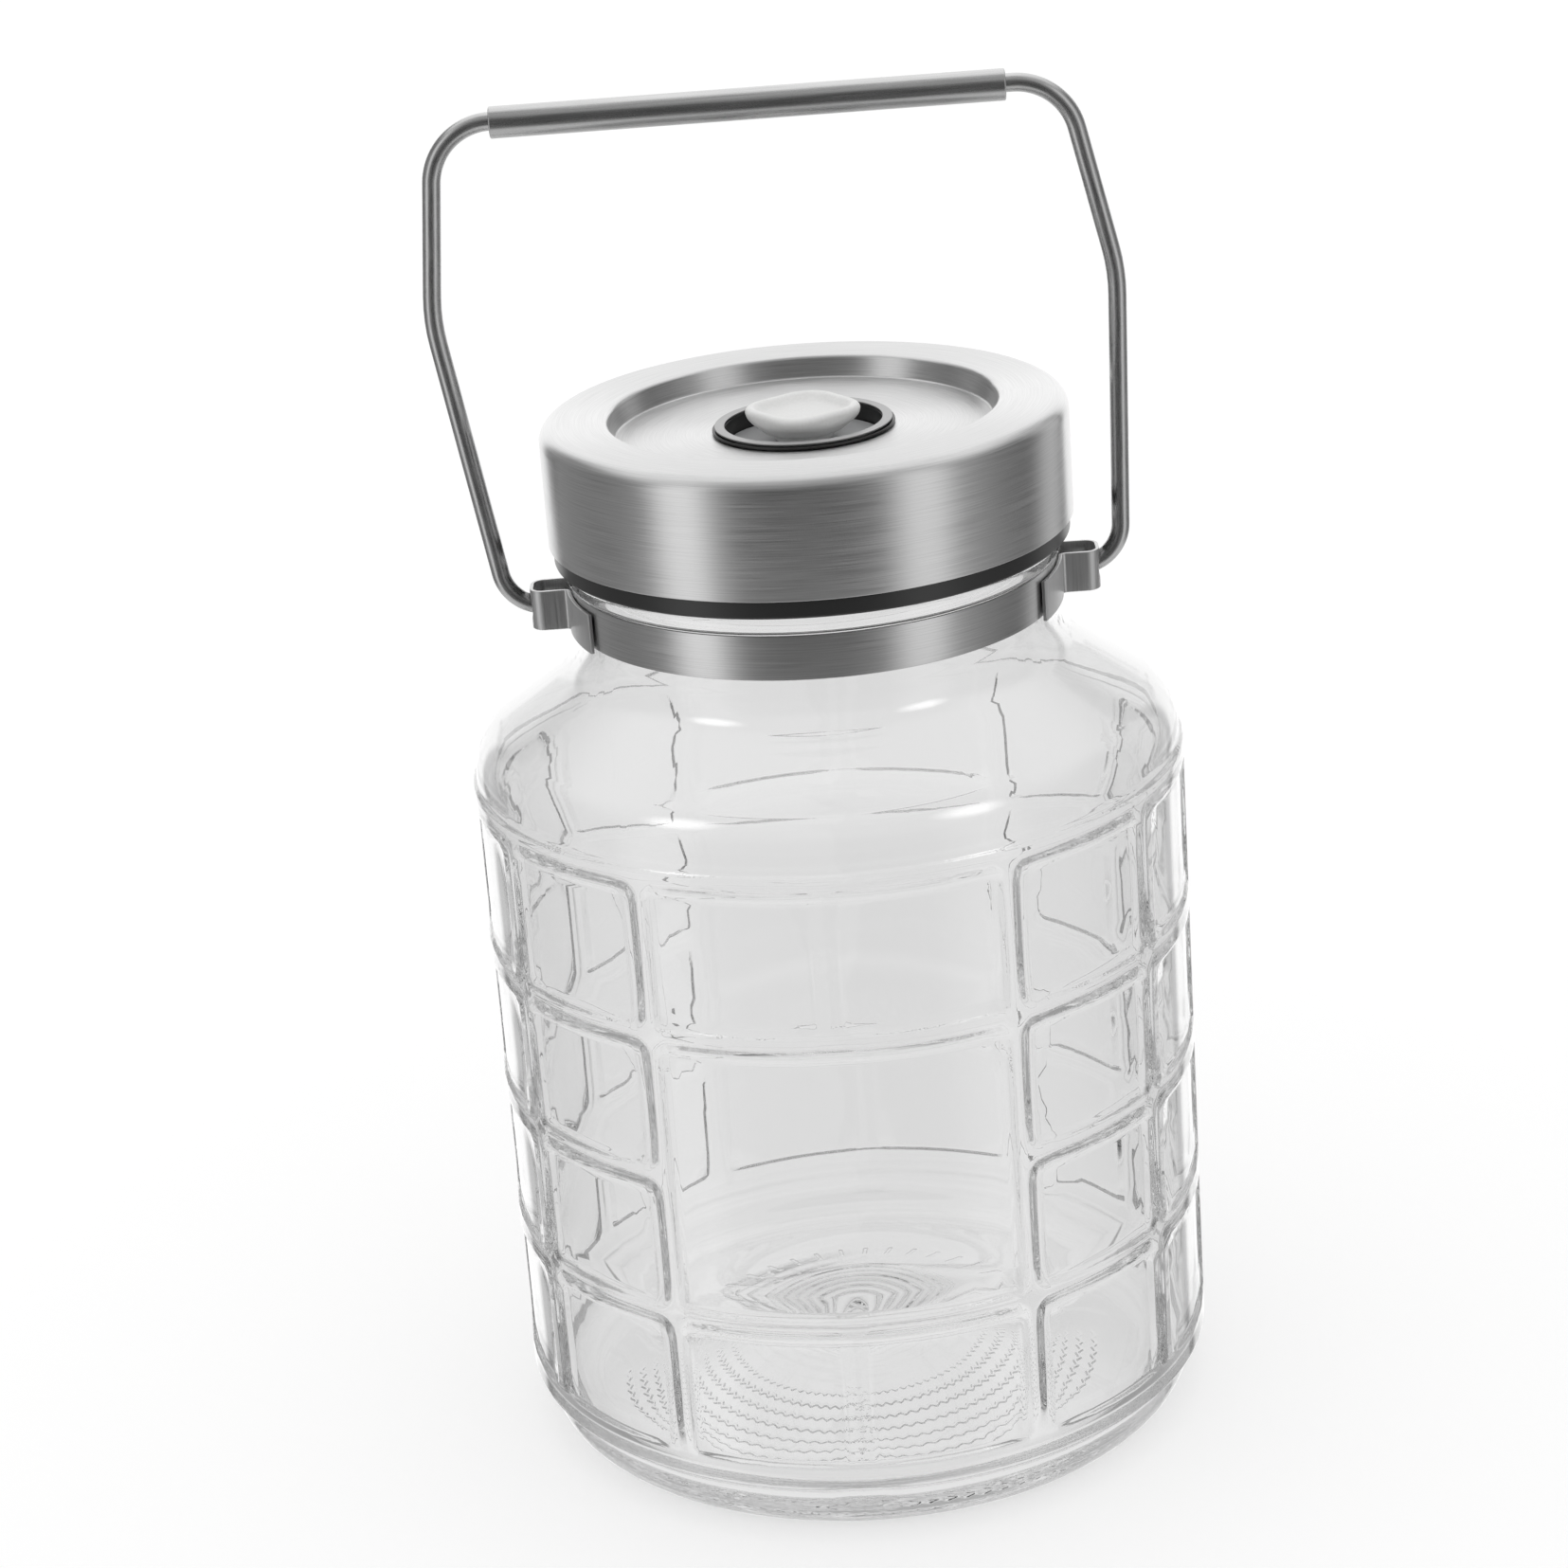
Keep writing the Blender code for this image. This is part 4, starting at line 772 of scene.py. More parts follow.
def soda_lime_glass(settings):
    """Blown soda-lime glass: clear, with faint tool marks on the steep flanks of its ribs and the mould's
    fine grooves, ridges and knurls under its base. The eye sees dark edges where it bends the view aside."""
    material, tree, output = new_material("blown_soda_lime_glass")
    place = add_node(tree, "ShaderNodeTexCoord").outputs["Object"]
    flank = add_node(tree, "ShaderNodeAttribute", attribute_name="rib_flank").outputs["Fac"]
    under = add_node(tree, "ShaderNodeAttribute", attribute_name="underside").outputs["Fac"]
    tool_marks = add_node(tree, "ShaderNodeTexNoise", {
        "Vector": place, "Scale": 1 / TOOL_MARK_SIZE, "Detail": 2.0, "Roughness": 0.5}).outputs["Fac"]
    for factor in (flank, TOOL_MARK_DEPTH * MILLIMETRES):
        tool_marks = add_node(tree, "ShaderNodeMath", {0: tool_marks, 1: factor},
                              operation="MULTIPLY").outputs[0]
    base_marks = base_pattern(tree, settings, place)
    relief = add_node(tree, "ShaderNodeMath", {0: base_marks, 1: under, 2: tool_marks},
                      operation="MULTIPLY_ADD").outputs[0]
    bump = add_node(tree, "ShaderNodeBump", {"Height": relief, "Strength": 1.0, "Distance": 1 / MILLIMETRES})
    glass = add_node(tree, "ShaderNodeBsdfPrincipled", {
        "Base Color": (*settings.tint, 1.0), "Roughness": 0.0, "IOR": 1.52, "Transmission Weight": 1.0,
        "Normal": bump.outputs["Normal"]})
    clear = add_node(tree, "ShaderNodeBsdfTransparent", {"Color": (0.94, 0.94, 0.94, 1.0)})
    ray = add_node(tree, "ShaderNodeLightPath")
    mix = add_node(tree, "ShaderNodeMixShader", {0: ray.outputs["Is Shadow Ray"], 1: glass.outputs[0],
                                                2: clear.outputs[0]})
    tree.links.new(mix.outputs[0], output.inputs["Surface"])
    inside = add_node(tree, "ShaderNodeVolumeAbsorption", {"Color": (0.0, 0.0, 0.0, 1.0), "Density": 0.5})
    tree.links.new(inside.outputs[0], output.inputs["Volume"])
    return material


def brushed_steel(name, base, roughness, around, along, smear, smear_turn):
    """Stainless steel brushed round its axis: fine parallel lines smear a reflection across them. A line is
    around long and along apart."""
    material, tree, output = new_material(name)
    surface = add_node(tree, "ShaderNodeUVMap", uv_map="surface")
    stretch = add_node(tree, "ShaderNodeMapping", {"Vector": surface.outputs["UV"],
                                                   "Scale": (1 / around, 1 / along, 1.0)})
    lines = add_node(tree, "ShaderNodeTexNoise", {
        "Vector": stretch.outputs["Vector"], "Scale": 1.0, "Detail": 3.0, "Roughness": 0.6},
        noise_dimensions="2D").outputs["Fac"]
    rough_span = (roughness * BRUSHED_ROUGHNESS[0], roughness * BRUSHED_ROUGHNESS[1])
    tone, rough = (
        add_node(tree, "ShaderNodeMapRange", {
            "Value": lines, "From Min": NOISE_SPAN[0], "From Max": NOISE_SPAN[1], "To Min": low,
            "To Max": high}).outputs["Result"]
        for low, high in (BRUSHED_TONES, rough_span))
    shade = add_node(tree, "ShaderNodeVectorMath", {0: base, "Scale": tone}, operation="SCALE")
    strength, distance = BRUSHED_BUMP
    bump = add_node(tree, "ShaderNodeBump", {"Height": lines, "Strength": strength, "Distance": distance})
    tangent = add_node(tree, "ShaderNodeTangent", direction_type="UV_MAP", uv_map="surface")
    metal = add_node(tree, "ShaderNodeBsdfPrincipled", {
        "Base Color": shade.outputs["Vector"], "Metallic": 1.0, "Roughness": rough, "Anisotropic": smear,
        "Anisotropic Rotation": smear_turn, "Normal": bump.outputs["Normal"],
        "Tangent": tangent.outputs["Tangent"]})
    tree.links.new(metal.outputs[0], output.inputs["Surface"])
    return material


def moulded_plastic(name, base, roughness, grain, depth, scatter):
    """Moulded polypropylene or silicone: an even colour, a soft sheen and a fine mould grain."""
    material, tree, output = new_material(name)
    place = add_node(tree, "ShaderNodeTexCoord")
    grains = add_node(tree, "ShaderNodeTexNoise", {"Vector": place.outputs["Object"], "Scale": 1 / grain,
                                                   "Detail": 2.0}).outputs["Fac"]
    tone = add_node(tree, "ShaderNodeMapRange", {"Value": grains, "From Min": NOISE_SPAN[0],
                                                 "From Max": NOISE_SPAN[1], "To Min": MOULDED_TONES[0],
                                                 "To Max": MOULDED_TONES[1]})
    shade = add_node(tree, "ShaderNodeVectorMath", {0: base, "Scale": tone.outputs["Result"]},
                     operation="SCALE")
    bump = add_node(tree, "ShaderNodeBump", {"Height": grains, "Strength": MOULDED_BUMP, "Distance": depth})
    body = add_node(tree, "ShaderNodeBsdfPrincipled", {
        "Base Color": shade.outputs["Vector"], "Roughness": roughness, "Normal": bump.outputs["Normal"],
        "Subsurface Weight": scatter, "Subsurface Radius": (1.0, 1.0, 1.0), "Subsurface Scale": 0.002})
    tree.links.new(body.outputs[0], output.inputs["Surface"])
    return material


def made_once(name, maker, *values):
    """The material of that name. It is made by maker the first time."""
    return bpy.data.materials.get(name) or maker(name, *values)


def steel_finish(kind, base, roughness):
    """One of the jar's steels in that colour and roughness."""
    name, *pattern = STEELS[kind]
    return made_once(name, brushed_steel, base, roughness, *pattern)


def plastic_finish(settings, kind):
    """One of the lid's plastics in the colour that the settings give it."""
    name, *values = PLASTICS[kind]
    return made_once(name, moulded_plastic, getattr(settings, kind), *values)


def dress(piece, material, body, slot, *nodes):
    """Give a piece its material and body, and hide the model's nodes that it stands for. The slot argument is
    not used.
    """
    piece.data.materials.append(material)
    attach(piece, body)
    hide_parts(*nodes)
    return piece


# Operators


class JarGlassOperator(bpy.types.Operator):
    """Make the moulded glass."""

    bl_idname = "jar.make_glass"
    bl_label = "Glass"

    def execute(self, context):
        """Build the glass from its section and its lattice."""
        settings = context.scene.jar_glass
        points, across, along, flank, under = glass_points(settings)
        piece = make_grid("moulded_glass", points, across, along, start_pole=True, end_pole=True)
        for name, mask, pole in (("rib_flank", flank, 0.0), ("underside", under, 1.0)):
            marks = np.concatenate([mask.ravel(), [0.0, pole]]).astype(np.float32)
            piece.data.attributes.new(name, "FLOAT", "POINT").data.foreach_set("value", marks)
        dress(piece, soda_lime_glass(settings), "jar", "clear_glass", "jar_body")
        return {"FINISHED"}


class JarLidOperator(bpy.types.Operator):
    """Make the steel lid shell, the black liner and the gasket."""

    bl_idname = "jar.make_lid"
    bl_label = "Lid"

    def execute(self, context):
        """Turn each section of the lid."""
        steel = context.scene.jar_steel
        plastic = context.scene.jar_plastic
        wall = steel.shell_wall
        floor = LID_TOP - steel.recess_depth
        floor_edge = steel.recess_radius - steel.recess_taper
        hem = wall * LID_HEM_SHARE
        shell = turned("pressed_lid_shell", [
            (CUP_HOLE_RADIUS, floor, FLAT_CORNER), (floor_edge, floor, DISH_FLOOR_ROUND),
            (steel.recess_radius, LID_TOP, DISH_RIM_ROUND), (LID_RADIUS, LID_TOP, steel.lid_edge),
            (LID_RADIUS, LID_BOTTOM, hem), (LID_RADIUS - wall, LID_BOTTOM, hem),
            (LID_RADIUS - wall, LID_TOP - wall, steel.lid_edge - wall),
            (steel.recess_radius + wall, LID_TOP - wall, DISH_RIM_UNDER_ROUND),
            (floor_edge + wall, floor - wall, DISH_FLOOR_UNDER_ROUND),
            (CUP_HOLE_RADIUS, floor - wall, FLAT_CORNER)], steps=240)
        sheet = steel_finish("sheet", steel.steel, steel.roughness)
        dress(shell, sheet, "lid", "brushed_stainless", "lid_shell")
        step_inner = steel.recess_radius + wall + LINER_CLEARANCE
        step_outer = step_inner + LINER_PLATE
        centre_top = floor - wall - SEAT_GAP
        centre_low = centre_top - LINER_PLATE
        liner = turned("screw_liner", [
            (CUP_HOLE_RADIUS, centre_top, FLAT_CORNER), (step_inner, centre_top, LINER_ROUND),
            (step_inner, LINER_TOP, LINER_ROUND), (LINER_RADIUS, LINER_TOP, steel.lid_edge - wall),
            (LINER_RADIUS, LINER_BOTTOM, LINER_FOOT_ROUND), (LINER_BORE, LINER_BOTTOM, LINER_ROUND),
            (LINER_BORE, LINER_TOP - LINER_PLATE, LINER_INNER_ROUND),
            (step_outer, LINER_TOP - LINER_PLATE, LINER_INNER_ROUND), (step_outer, centre_low, LINER_ROUND),
            (CUP_HOLE_RADIUS, centre_low, EDGE_ROUND)], steps=200)
        dress(liner, plastic_finish(plastic, "black"), "lid", "black_polypropylene", "lid_liner")
        gasket = plain_ring("rim_gasket", GASKET_RADIUS, GASKET_RADIUS - GASKET_WIDTH, GASKET_BOTTOM,
                            GASKET_TOP, GASKET_ROUND, steps=160)
        dress(gasket, plastic_finish(plastic, "clear"), "lid_carrier", "clear_silicone", "lid_gasket")
        return {"FINISHED"}


def plain_ring(name, outer, inner, low, high, rounding, steps=120):
    """A ring of rectangular section with rounded edges."""
    return turned(name, [(outer, high, rounding), (outer, low, rounding), (inner, low, rounding),
                         (inner, high, rounding)], steps)


def knob_points(settings, steps=96):
    """The knob and its stem: a section turned round Z, where a point's radius is
    r + share * lobe * cos(4 (t - turn)), so that the top swells into four lobes."""
    top = KNOB_HIGH.z
    low = KNOB_LOW.z
    rim = settings.knob_radius
    base = settings.knob_base
    seat = DISC_TOP + SEAT_GAP
    bowl = seat + settings.knob_hub_height
    foot = low + KNOB_FOOT_HEIGHT
    section = filleted([
        (0.0, low, 0), (KNOB_FOOT_RADIUS, low, CUP_ROUND), (KNOB_FOOT_RADIUS, foot, EDGE_ROUND),
        (STEM_RADIUS, foot, SHARP_ROUND), (STEM_RADIUS, seat, KNOB_HUB_FILLET),
        (settings.knob_hub, seat, KNOB_HUB_ROUND), (settings.knob_hub, bowl, KNOB_HUB_FILLET),
        (base, bowl, KNOB_BASE_ROUND), (rim, bowl + KNOB_FLARE_HEIGHT, KNOB_FLARE_HEIGHT),
        (rim + KNOB_FLARE, top, KNOB_RIM_ROUND),
        (rim - KNOB_RIM_WIDTH, top - KNOB_RIM_FALL, KNOB_RIM_INNER_ROUND),
        (rim - KNOB_DISH_INSET, top - KNOB_DISH_DEPTH, KNOB_RIM_WIDTH),
        (0.0, top - KNOB_DISH_DEPTH - KNOB_FLARE, 0)], closed=False)
    step_length = path_length(section)
    along = np.linspace(0, step_length[-1], KNOB_ROWS)
    section = np.stack([np.interp(along, step_length, section[:, k]) for k in range(2)], -1)
    share = smooth_step((section[:, 1] - bowl) / (top - bowl - KNOB_LOBE_TOP))
    share = share * smooth_step(section[:, 0] / rim)
    turn = np.linspace(0, 2 * np.pi, steps, endpoint=False)
    lobes = np.cos(KNOB_LOBES * (turn - settings.knob_turn))
    radius = section[:, :1] + settings.knob_lobe * share[:, None] * lobes[None, :]
    points = np.stack([radius * np.cos(turn), radius * np.sin(turn),
                       np.repeat(section[:, 1:], steps, axis=1)], -1)
    return points, np.linspace(0, 2 * np.pi, steps + 1) * rim, along


class JarValveOperator(bpy.types.Operator):
    """Make the valve in the middle of the lid."""

    bl_idname = "jar.make_valve"
    bl_label = "Valve"

    def execute(self, context):
        """Turn the cup and its rings, and build the lobed knob."""
        plastic = context.scene.jar_plastic
        flange = CUP_TOP - CUP_FLANGE
        floor_top = DISC_BOTTOM - SEAT_GAP
        stem_hole = STEM_RADIUS + STEM_CLEARANCE
        cup = turned("valve_cup_moulding", [
            (CUP_FLANGE_RADIUS, CUP_TOP, EDGE_ROUND), (CUP_FLANGE_RADIUS, flange, SHARP_ROUND),
            (CUP_RADIUS, flange, SHARP_ROUND), (CUP_RADIUS, CUP_BOTTOM, CUP_ROUND),
            (stem_hole, CUP_BOTTOM, EDGE_ROUND), (stem_hole, floor_top, EDGE_ROUND),
            (CUP_BORE, floor_top, CUP_ROUND), (CUP_BORE, CUP_TOP, EDGE_ROUND)], steps=120)
        black = plastic_finish(plastic, "black")
        clear = plastic_finish(plastic, "clear")
        dress(cup, black, "lid", "black_polypropylene", "valve_cup")
        trim = plain_ring("valve_trim", TRIM_RADIUS, CUP_BORE, TRIM_BOTTOM, TRIM_TOP, TRIM_ROUND)
        satin = steel_finish("trim", context.scene.jar_steel.trim_steel, TRIM_ROUGHNESS)
        dress(trim, satin, "lid", "satin_trim", "valve_trim_ring")
        disc = plain_ring("valve_disc_plate", DISC_RADIUS, stem_hole, DISC_BOTTOM, DISC_TOP, EDGE_ROUND)
        dress(disc, plastic_finish(plastic, "grey"), "lid", "grey_polypropylene", "valve_disc")
        around_cup = CUP_RADIUS + SEAT_GAP
        under = plain_ring("valve_seal", SEAL_RADIUS, around_cup, SEAL_BOTTOM, SEAL_TOP, EDGE_ROUND)
        dress(under, clear, "lid", "clear_silicone", "valve_gasket")
        nut = plain_ring("valve_lock_nut", NUT_RADIUS, around_cup, NUT_BOTTOM, NUT_TOP, CUP_ROUND)
        dress(nut, black, "lid", "black_polypropylene", "valve_nut")
        keeper = plain_ring("valve_washer", KEEPER_RADIUS, STEM_RADIUS + SEAT_GAP, KEEPER_BOTTOM, KEEPER_TOP,
                            GASKET_ROUND)
        dress(keeper, clear, "valve", "clear_silicone", "valve_keeper")
        points, across, along = knob_points(plastic)
        knob = make_grid("lobed_knob", points, across, along, start_pole=True, end_pole=True)
        dress(knob, plastic_finish(plastic, "white"), "valve", "white_silicone", "valve_knob")
        return {"FINISHED"}


def ear_path(steel):
    """The middle line of the right ear's strip, seen from above: flange, wall, outer end, wall, flange."""
    radius = BAND_RADIUS + SEAT_GAP + steel.ear_strip / 2
    wall = (steel.ear_width - steel.ear_strip) / 2
    root = math.sqrt(radius ** 2 - wall ** 2)
    root_angle = math.asin(wall / radius)
    bends = np.linspace(EAR_FLANGE_ANGLE, root_angle + 2 * EAR_ROOT_BEND / radius, 12)
    face = EAR_HIGH.x - steel.ear_strip / 2
    half = [(radius * math.cos(bend), -radius * math.sin(bend), 0) for bend in bends]
    half += [(root, -wall, EAR_ROOT_BEND), (face, -wall, EAR_CORNER)]
    other = [(x, -y, bend) for x, y, bend in reversed(half)]
    return filleted(half + other, closed=False)


def planar_normal(path, binormal):
    """The direction across a planar path: the plane's normal crossed with the path's tangent."""
    tangent = np.gradient(path, axis=0)
    tangent /= np.linalg.norm(tangent, axis=1, keepdims=True)
    return np.cross(binormal, tangent)


def cut_hole(piece, centre, radius, depth):
    """Bore a round hole along X through a piece, and keep the result as its mesh."""
    bpy.ops.mesh.primitive_cylinder_add(vertices=64, radius=radius, depth=depth, location=centre,
                                        rotation=(0.0, math.pi / 2, 0.0))
    tool = bpy.context.active_object
    cut = piece.modifiers.new("Hole", "BOOLEAN")
    cut.operation = "DIFFERENCE"
    cut.solver = "EXACT"
    cut.object = tool
    evaluated = piece.evaluated_get(bpy.context.evaluated_depsgraph_get())
    piece.data = bpy.data.meshes.new_from_object(evaluated)
    piece.modifiers.clear()
    bpy.data.objects.remove(tool, do_unlink=True)


class JarBandOperator(bpy.types.Operator):
    """Make the neck band and its two ears."""

    bl_idname = "jar.make_band"
    bl_label = "Band and ears"

    def execute(self, context):
        """Turn the band and carry the ears' strip along its path."""
        steel = context.scene.jar_steel
        material = steel_finish("sheet", steel.steel, steel.roughness)
        band = plain_ring("neck_strip", BAND_RADIUS, BAND_RADIUS - BAND_WALL, BAND_BOTTOM, BAND_TOP,
                          EDGE_ROUND, steps=240)
        dress(band, material, "jar", "brushed_stainless", "neck_band")
        outline = ear_path(steel)
        height = EAR_HIGH.z - EAR_LOW.z
        x, z = steel.ear_strip / 2, height / 2
        section = filleted([(x, z, EDGE_ROUND), (-x, z, EDGE_ROUND), (-x, -z, EDGE_ROUND),
                            (x, -z, EDGE_ROUND)], turn_step=math.radians(30.0))
        up = np.array([0.0, 0.0, 1.0])
        for side, name, node in ((1, "ear_right", "ear_bracket_right"), (-1, "ear_left", "ear_bracket_left")):
            path = np.column_stack([side * outline[:, 0], side * outline[:, 1],
                                    np.full(len(outline), (EAR_HIGH.z + EAR_LOW.z) / 2)])
            ear = swept(name, path, planar_normal(path, up), up, section, EDGE_ROUND)
            cut_hole(ear, (side * EAR_HIGH.x, 0.0, PIVOT_HEIGHT), EAR_HOLE_RADIUS, 4 * steel.ear_strip)
            dress(ear, material, "jar", "brushed_stainless", node)
        return {"FINISHED"}


class JarBailOperator(bpy.types.Operator):
    """Make the bail's wire and its grip tube."""

    bl_idname = "jar.make_bail"
    bl_label = "Bail"

    def execute(self, context):
        """Carry a round section along the bent wire, and turn the tube round the wire's top."""
        steel = context.scene.jar_steel
        face = EAR_HIGH.x
        half = [(BAND_RADIUS + WIRE_END_GAP, 0.0, 0), (face + FOOT_REACH, 0.0, FOOT_BEND),
                (face + KINK_REACH, steel.kink_height, KINK_BEND),
                (face + TOP_REACH, steel.bail_height, TOP_BEND)]
        corners = [(-x, z, bend) for x, z, bend in half] + half[::-1]
        corners = [(x - steel.bail_lean * z / steel.bail_height, z, bend) for x, z, bend in corners]
        flat = filleted(corners, closed=False, turn_step=math.radians(4.0))
        path = np.column_stack([flat[:, 0], np.zeros(len(flat)), flat[:, 1] + PIVOT_HEIGHT])
        depth = np.array([0.0, 1.0, 0.0])
        turn = np.linspace(0, 2 * np.pi, 32, endpoint=False)
        section = steel.wire_radius * np.stack([np.cos(turn), np.sin(turn)], -1)
        wire = swept("bent_wire", path, planar_normal(path, depth), depth, section, WIRE_END_ROUND)
        drawn = steel_finish("wire", steel.wire_steel, WIRE_ROUGHNESS)
        dress(wire, drawn, "bail", "brushed_stainless", "bail_wire")
        rolled = steel_finish("tube", steel.wire_steel, TUBE_ROUGHNESS)
        dress(grip_tube(), rolled, "grip", "brushed_stainless", "grip_tube")
        return {"FINISHED"}


def grip_tube(steps=64):
    """The tube: a rounded ring section turned round the grip's own axis along X."""
    centre = (GRIP_LOW + GRIP_HIGH) / 2
    half = (GRIP_HIGH.x - GRIP_LOW.x) / 2
    radius = (GRIP_HIGH.z - GRIP_LOW.z) / 2
    section = filleted([(radius, half, GRIP_ROUND), (radius, -half, GRIP_ROUND),
                        (GRIP_BORE_RADIUS, -half, GRIP_ROUND), (GRIP_BORE_RADIUS, half, GRIP_ROUND)])
    turn = np.linspace(0, 2 * np.pi, steps, endpoint=False)
    points = np.stack([np.repeat(centre.x + section[:, 1:], steps, axis=1),
                       centre.y + section[:, None, 0] * np.cos(turn),
                       centre.z + section[:, None, 0] * np.sin(turn)], -1)
    across = np.linspace(0, 2 * np.pi, steps + 1) * radius
    return make_grid("rolled_grip_tube", points, across, path_length(section, True), closed_rows=True)


# Stage


def bands_of_light(tree, share, bands):
    """Radiance round the horizon from pairs (azimuth in degrees, level)."""
    node = add_node(tree, "ShaderNodeValToRGB", {"Fac": share})
    ramp = node.color_ramp
    ramp.elements.remove(ramp.elements[1])
    ramp.elements[0].position = 0.0
    for index, (degrees, level) in enumerate(bands):
        stop = ramp.elements[0] if index == 0 else ramp.elements.new((degrees + 180.0) / 360.0)
        stop.color = (level, level, level, 1.0)
    return node.outputs["Color"]


def room(tree, height, share, walls, layers):
    """Radiance of a room seen from its middle. Its walls are bands round the horizon. Each layer (near
    elevation, far elevation, radiance or bands) then covers what lies past its far elevation, and fades to
    nothing at the near one."""
    radiance = bands_of_light(tree, share, walls)
    for near, far, level in layers:
        past = add_node(tree, "ShaderNodeMapRange", {
            "Value": height, "From Min": math.sin(math.radians(near)),
            "From Max": math.sin(math.radians(far))}, interpolation_type="SMOOTHSTEP")
        level = bands_of_light(tree, share, level) if isinstance(level, tuple) else level
        radiance = add_node(tree, "ShaderNodeMix", {
            "Factor": past.outputs["Result"], "A": radiance, "B": level}, data_type="FLOAT").outputs["Result"]
    return radiance


def soft_box(tree, direction, azimuth, elevation):
    """Radiance of a round soft box, bright in its middle and fading to nothing at its edge: it is the box's
    own times s^2, with s the share of the way in from the edge, measured by the cosine."""
    middle = (math.sin(azimuth) * math.cos(elevation), -math.cos(azimuth) * math.cos(elevation),
              math.sin(elevation))
    nearness = add_node(tree, "ShaderNodeVectorMath", {0: direction, 1: middle}, operation="DOT_PRODUCT")
    share = add_node(tree, "ShaderNodeMapRange", {"Value": nearness.outputs["Value"],
                                                  "From Min": math.cos(SOFT_BOX_RADIUS), "From Max": 1.0})
    glow = add_node(tree, "ShaderNodeMath", {0: share.outputs["Result"], 1: 2.0}, operation="POWER")
    return add_node(tree, "ShaderNodeMath", {0: glow.outputs[0], 1: SOFT_BOX_RADIANCE},
                    operation="MULTIPLY").outputs[0]


def studio_world():
    """A white room for the camera and even light for matte surfaces. Metal mirrors a dark side behind the
    camera, bright strips to its left and right, a grey ceiling and a white table. Glass sees a white wall at
    the far side, darker walls beside it, and a grey gap between the walls and the ceiling."""
    world = bpy.data.worlds.new("studio")
    bpy.context.scene.world = world
    world.use_nodes = True
    world.cycles.sampling_method = "NONE"
    tree = world.node_tree
    tree.nodes.clear()
    output = tree.nodes.new("ShaderNodeOutputWorld")
    direction = add_node(tree, "ShaderNodeTexCoord").outputs["Generated"]
    axes = add_node(tree, "ShaderNodeSeparateXYZ", {0: direction}).outputs
    forward = add_node(tree, "ShaderNodeMath", {0: axes["Y"], 1: -1.0}, operation="MULTIPLY")
    turn = add_node(tree, "ShaderNodeMath", {0: axes["X"], 1: forward.outputs[0]}, operation="ARCTAN2")
    share = add_node(tree, "ShaderNodeMath", {0: turn.outputs[0], 1: 0.5 / math.pi, 2: 0.5},
                     operation="MULTIPLY_ADD").outputs[0]
    mirrored = room(tree, axes["Z"], share, MIRRORED_WALLS, MIRRORED_LAYERS)
    seen_through = room(tree, axes["Z"], share, GLASS_WALLS, GLASS_LAYERS)
    ray = add_node(tree, "ShaderNodeLightPath").outputs
    for azimuth, elevation in SOFT_BOXES:
        glow = soft_box(tree, direction, math.radians(azimuth), math.radians(elevation))
        mirrored = add_node(tree, "ShaderNodeMath", {0: glow, 1: ray["Is Singular Ray"], 2: mirrored},
                            operation="MULTIPLY_ADD").outputs[0]
    strength = 1.0
    for kind, radiance in (("Is Glossy Ray", mirrored), ("Is Transmission Ray", seen_through)):
        strength = add_node(tree, "ShaderNodeMix", {"Factor": ray[kind], "A": strength, "B": radiance},
                            data_type="FLOAT").outputs["Result"]
    light = add_node(tree, "ShaderNodeBackground", {"Color": (1.0, 1.0, 1.0, 1.0), "Strength": strength})
    tree.links.new(light.outputs[0], output.inputs["Surface"])


def white_floor(settings):
    """A matte floor that renders about white and keeps a soft shadow. Gloss and glass see past it."""
    material, tree, output = new_material("matte_white_floor")
    matte = add_node(tree, "ShaderNodeBsdfDiffuse", {"Color": (*settings.floor, 1.0)})
    glow = add_node(tree, "ShaderNodeEmission", {"Color": (1.0, 1.0, 1.0, 1.0), "Strength": FLOOR_GLOW})
    lit = add_node(tree, "ShaderNodeAddShader", {0: matte.outputs[0], 1: glow.outputs[0]})
    tree.links.new(lit.outputs[0], output.inputs["Surface"])
    return material


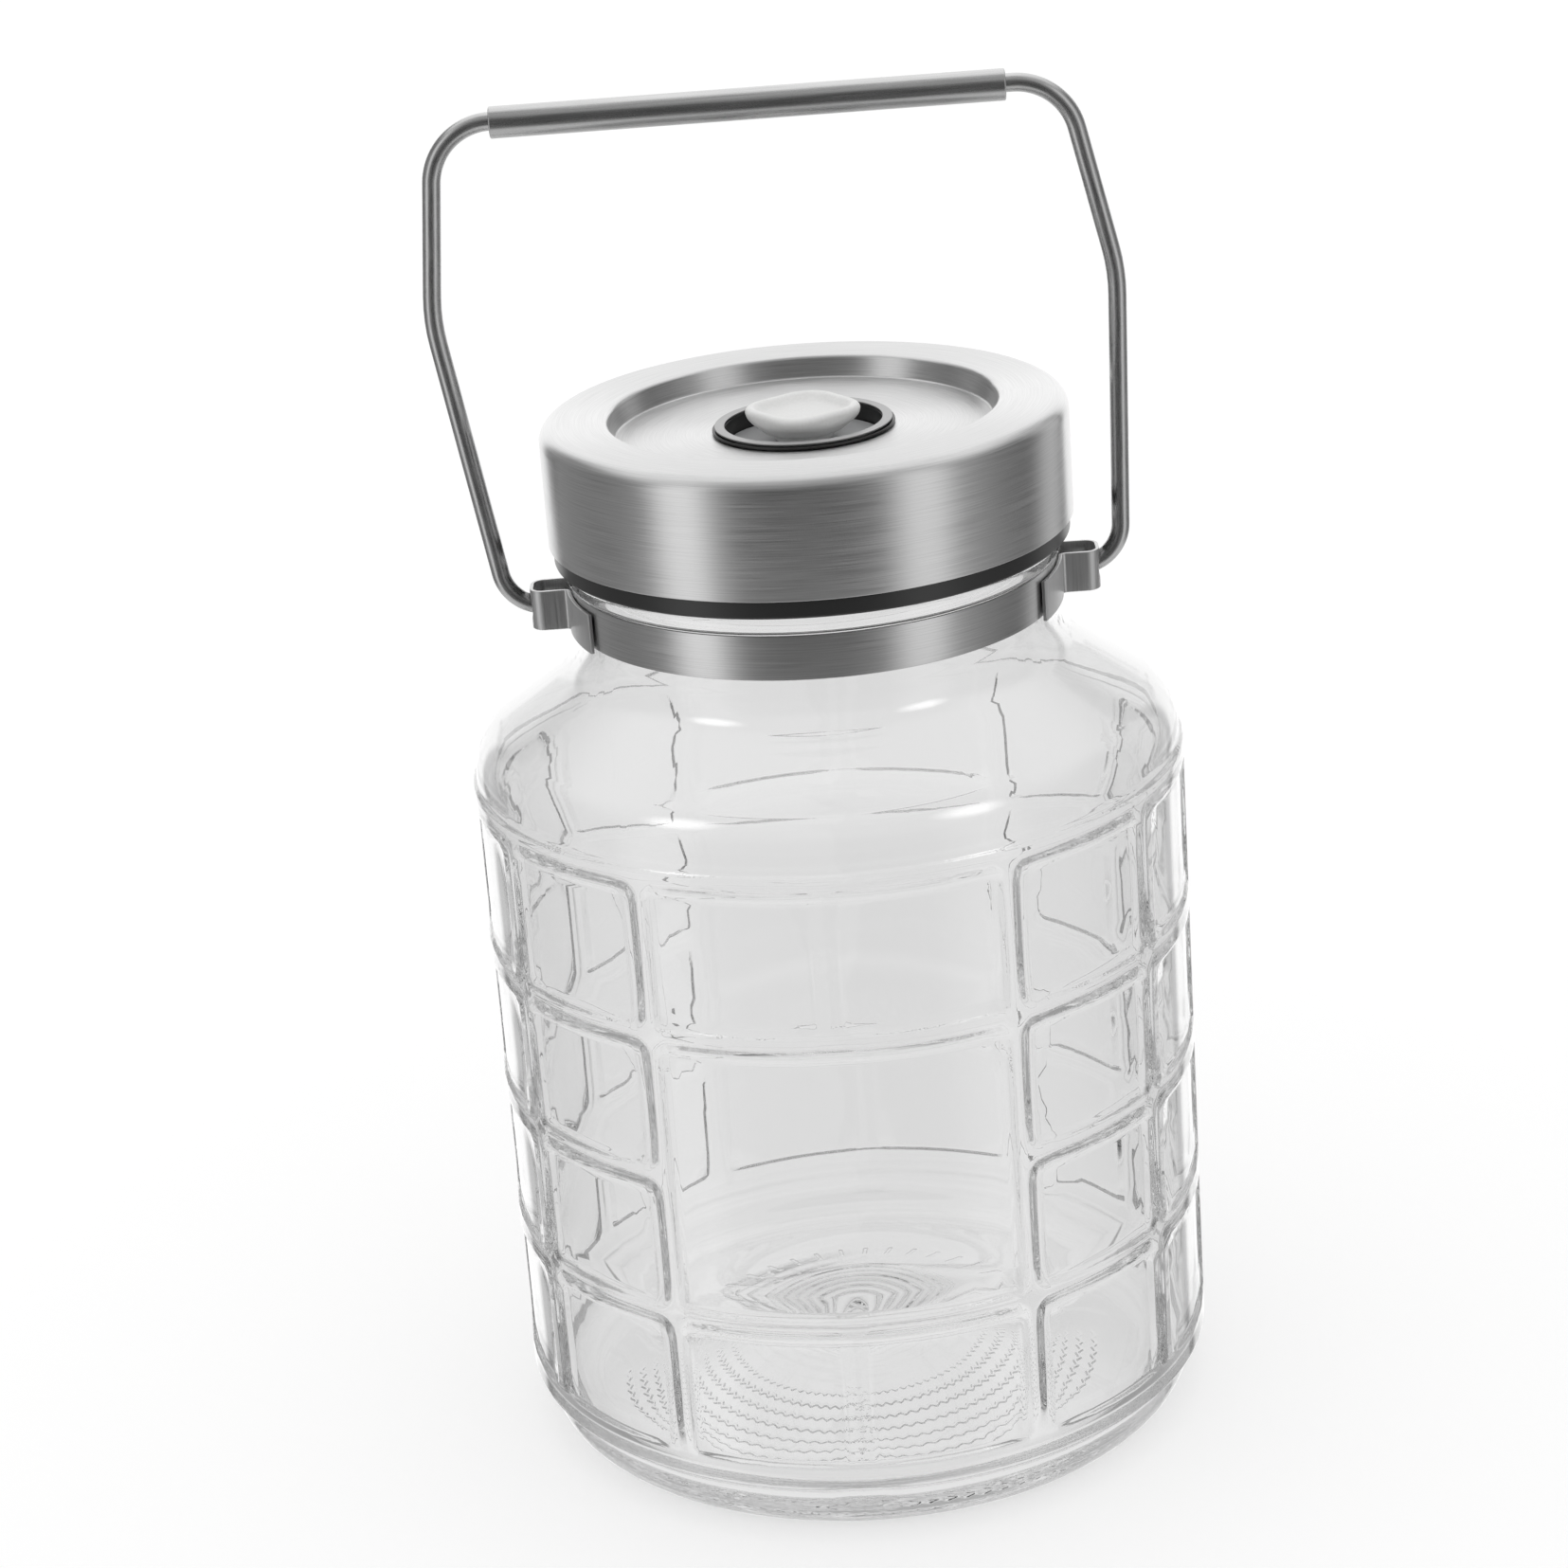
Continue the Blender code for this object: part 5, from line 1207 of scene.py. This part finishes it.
class JarStageOperator(bpy.types.Operator):
    """Make the floor, the light and the camera."""

    bl_idname = "jar.make_stage"
    bl_label = "Stage"

    def execute(self, context):
        """Set the studio and the camera at the photograph's viewing angle."""
        scene = context.scene
        settings = scene.jar_stage
        scene.view_settings.view_transform = "Standard"
        scene.cycles.max_bounces = GLASS_BOUNCES
        scene.cycles.transmission_bounces = GLASS_BOUNCES
        scene.cycles.glossy_bounces = GLASS_BOUNCES
        studio_world()
        bpy.ops.mesh.primitive_plane_add(size=settings.floor_size, location=(0.0, 0.0, 0.0))
        floor = context.active_object
        floor.name = "floor"
        floor.data.materials.append(white_floor(settings))
        floor.visible_glossy = False
        floor.visible_transmission = False
        data = bpy.data.cameras.new("camera")
        data.lens = settings.lens
        data.clip_end = CAMERA_REACH
        camera = bpy.data.objects.new("camera", data)
        scene.collection.objects.link(camera)
        yaw, pitch, roll = -settings.camera_yaw, settings.camera_pitch, settings.camera_roll
        ahead = Vector((math.sin(yaw) * math.cos(pitch), math.cos(yaw) * math.cos(pitch), -math.sin(pitch)))
        level = ahead.cross(Vector((0.0, 0.0, 1.0))).normalized()
        upright = level.cross(ahead)
        right = level * math.cos(roll) + upright * math.sin(roll)
        up = upright * math.cos(roll) - level * math.sin(roll)
        turn = Matrix((right, up, -ahead)).transposed().to_4x4()
        place = Matrix.Translation((0.0, -settings.camera_distance, settings.camera_height))
        camera.matrix_world = place @ turn
        scene.camera = camera
        return {"FINISHED"}


class JarPanel(bpy.types.Panel):
    """Lists the jar's operators in the sidebar."""

    bl_idname = "VIEW3D_PT_fermentation_jar"
    bl_label = "Fermentation Jar"
    bl_space_type = "VIEW_3D"
    bl_region_type = "UI"
    bl_category = "Jar"

    def draw(self, context):
        """Draw one button for each operator, and the settings."""
        for operator in OPERATORS:
            self.layout.operator(operator.bl_idname)
        for group in ("jar_glass", "jar_steel", "jar_plastic", "jar_stage"):
            settings = getattr(context.scene, group)
            for name in settings.__annotations__:
                self.layout.prop(settings, name)


SETTINGS = {"jar_glass": JarGlassSettings, "jar_steel": SteelSettings, "jar_plastic": LidPlasticSettings,
            "jar_stage": StageSettings}
OPERATORS = (JarStageOperator, JarGlassOperator, JarLidOperator, JarValveOperator, JarBandOperator,
             JarBailOperator)


def register():
    """Register the settings, the operators and the panel."""
    for group in SETTINGS.values():
        bpy.utils.register_class(group)
    for name, group in SETTINGS.items():
        setattr(bpy.types.Scene, name, PointerProperty(type=group))
    for operator in OPERATORS:
        bpy.utils.register_class(operator)
    bpy.utils.register_class(JarPanel)


def unregister():
    """Take back what register has done."""
    bpy.utils.unregister_class(JarPanel)
    for operator in OPERATORS:
        bpy.utils.unregister_class(operator)
    for name, group in SETTINGS.items():
        delattr(bpy.types.Scene, name)
        bpy.utils.unregister_class(group)


def main():
    """Build the jar."""
    register()
    bpy.ops.jar.make_stage()
    bpy.ops.jar.make_glass()
    bpy.ops.jar.make_lid()
    bpy.ops.jar.make_valve()
    bpy.ops.jar.make_band()
    bpy.ops.jar.make_bail()


if __name__ == "__main__":
    main()
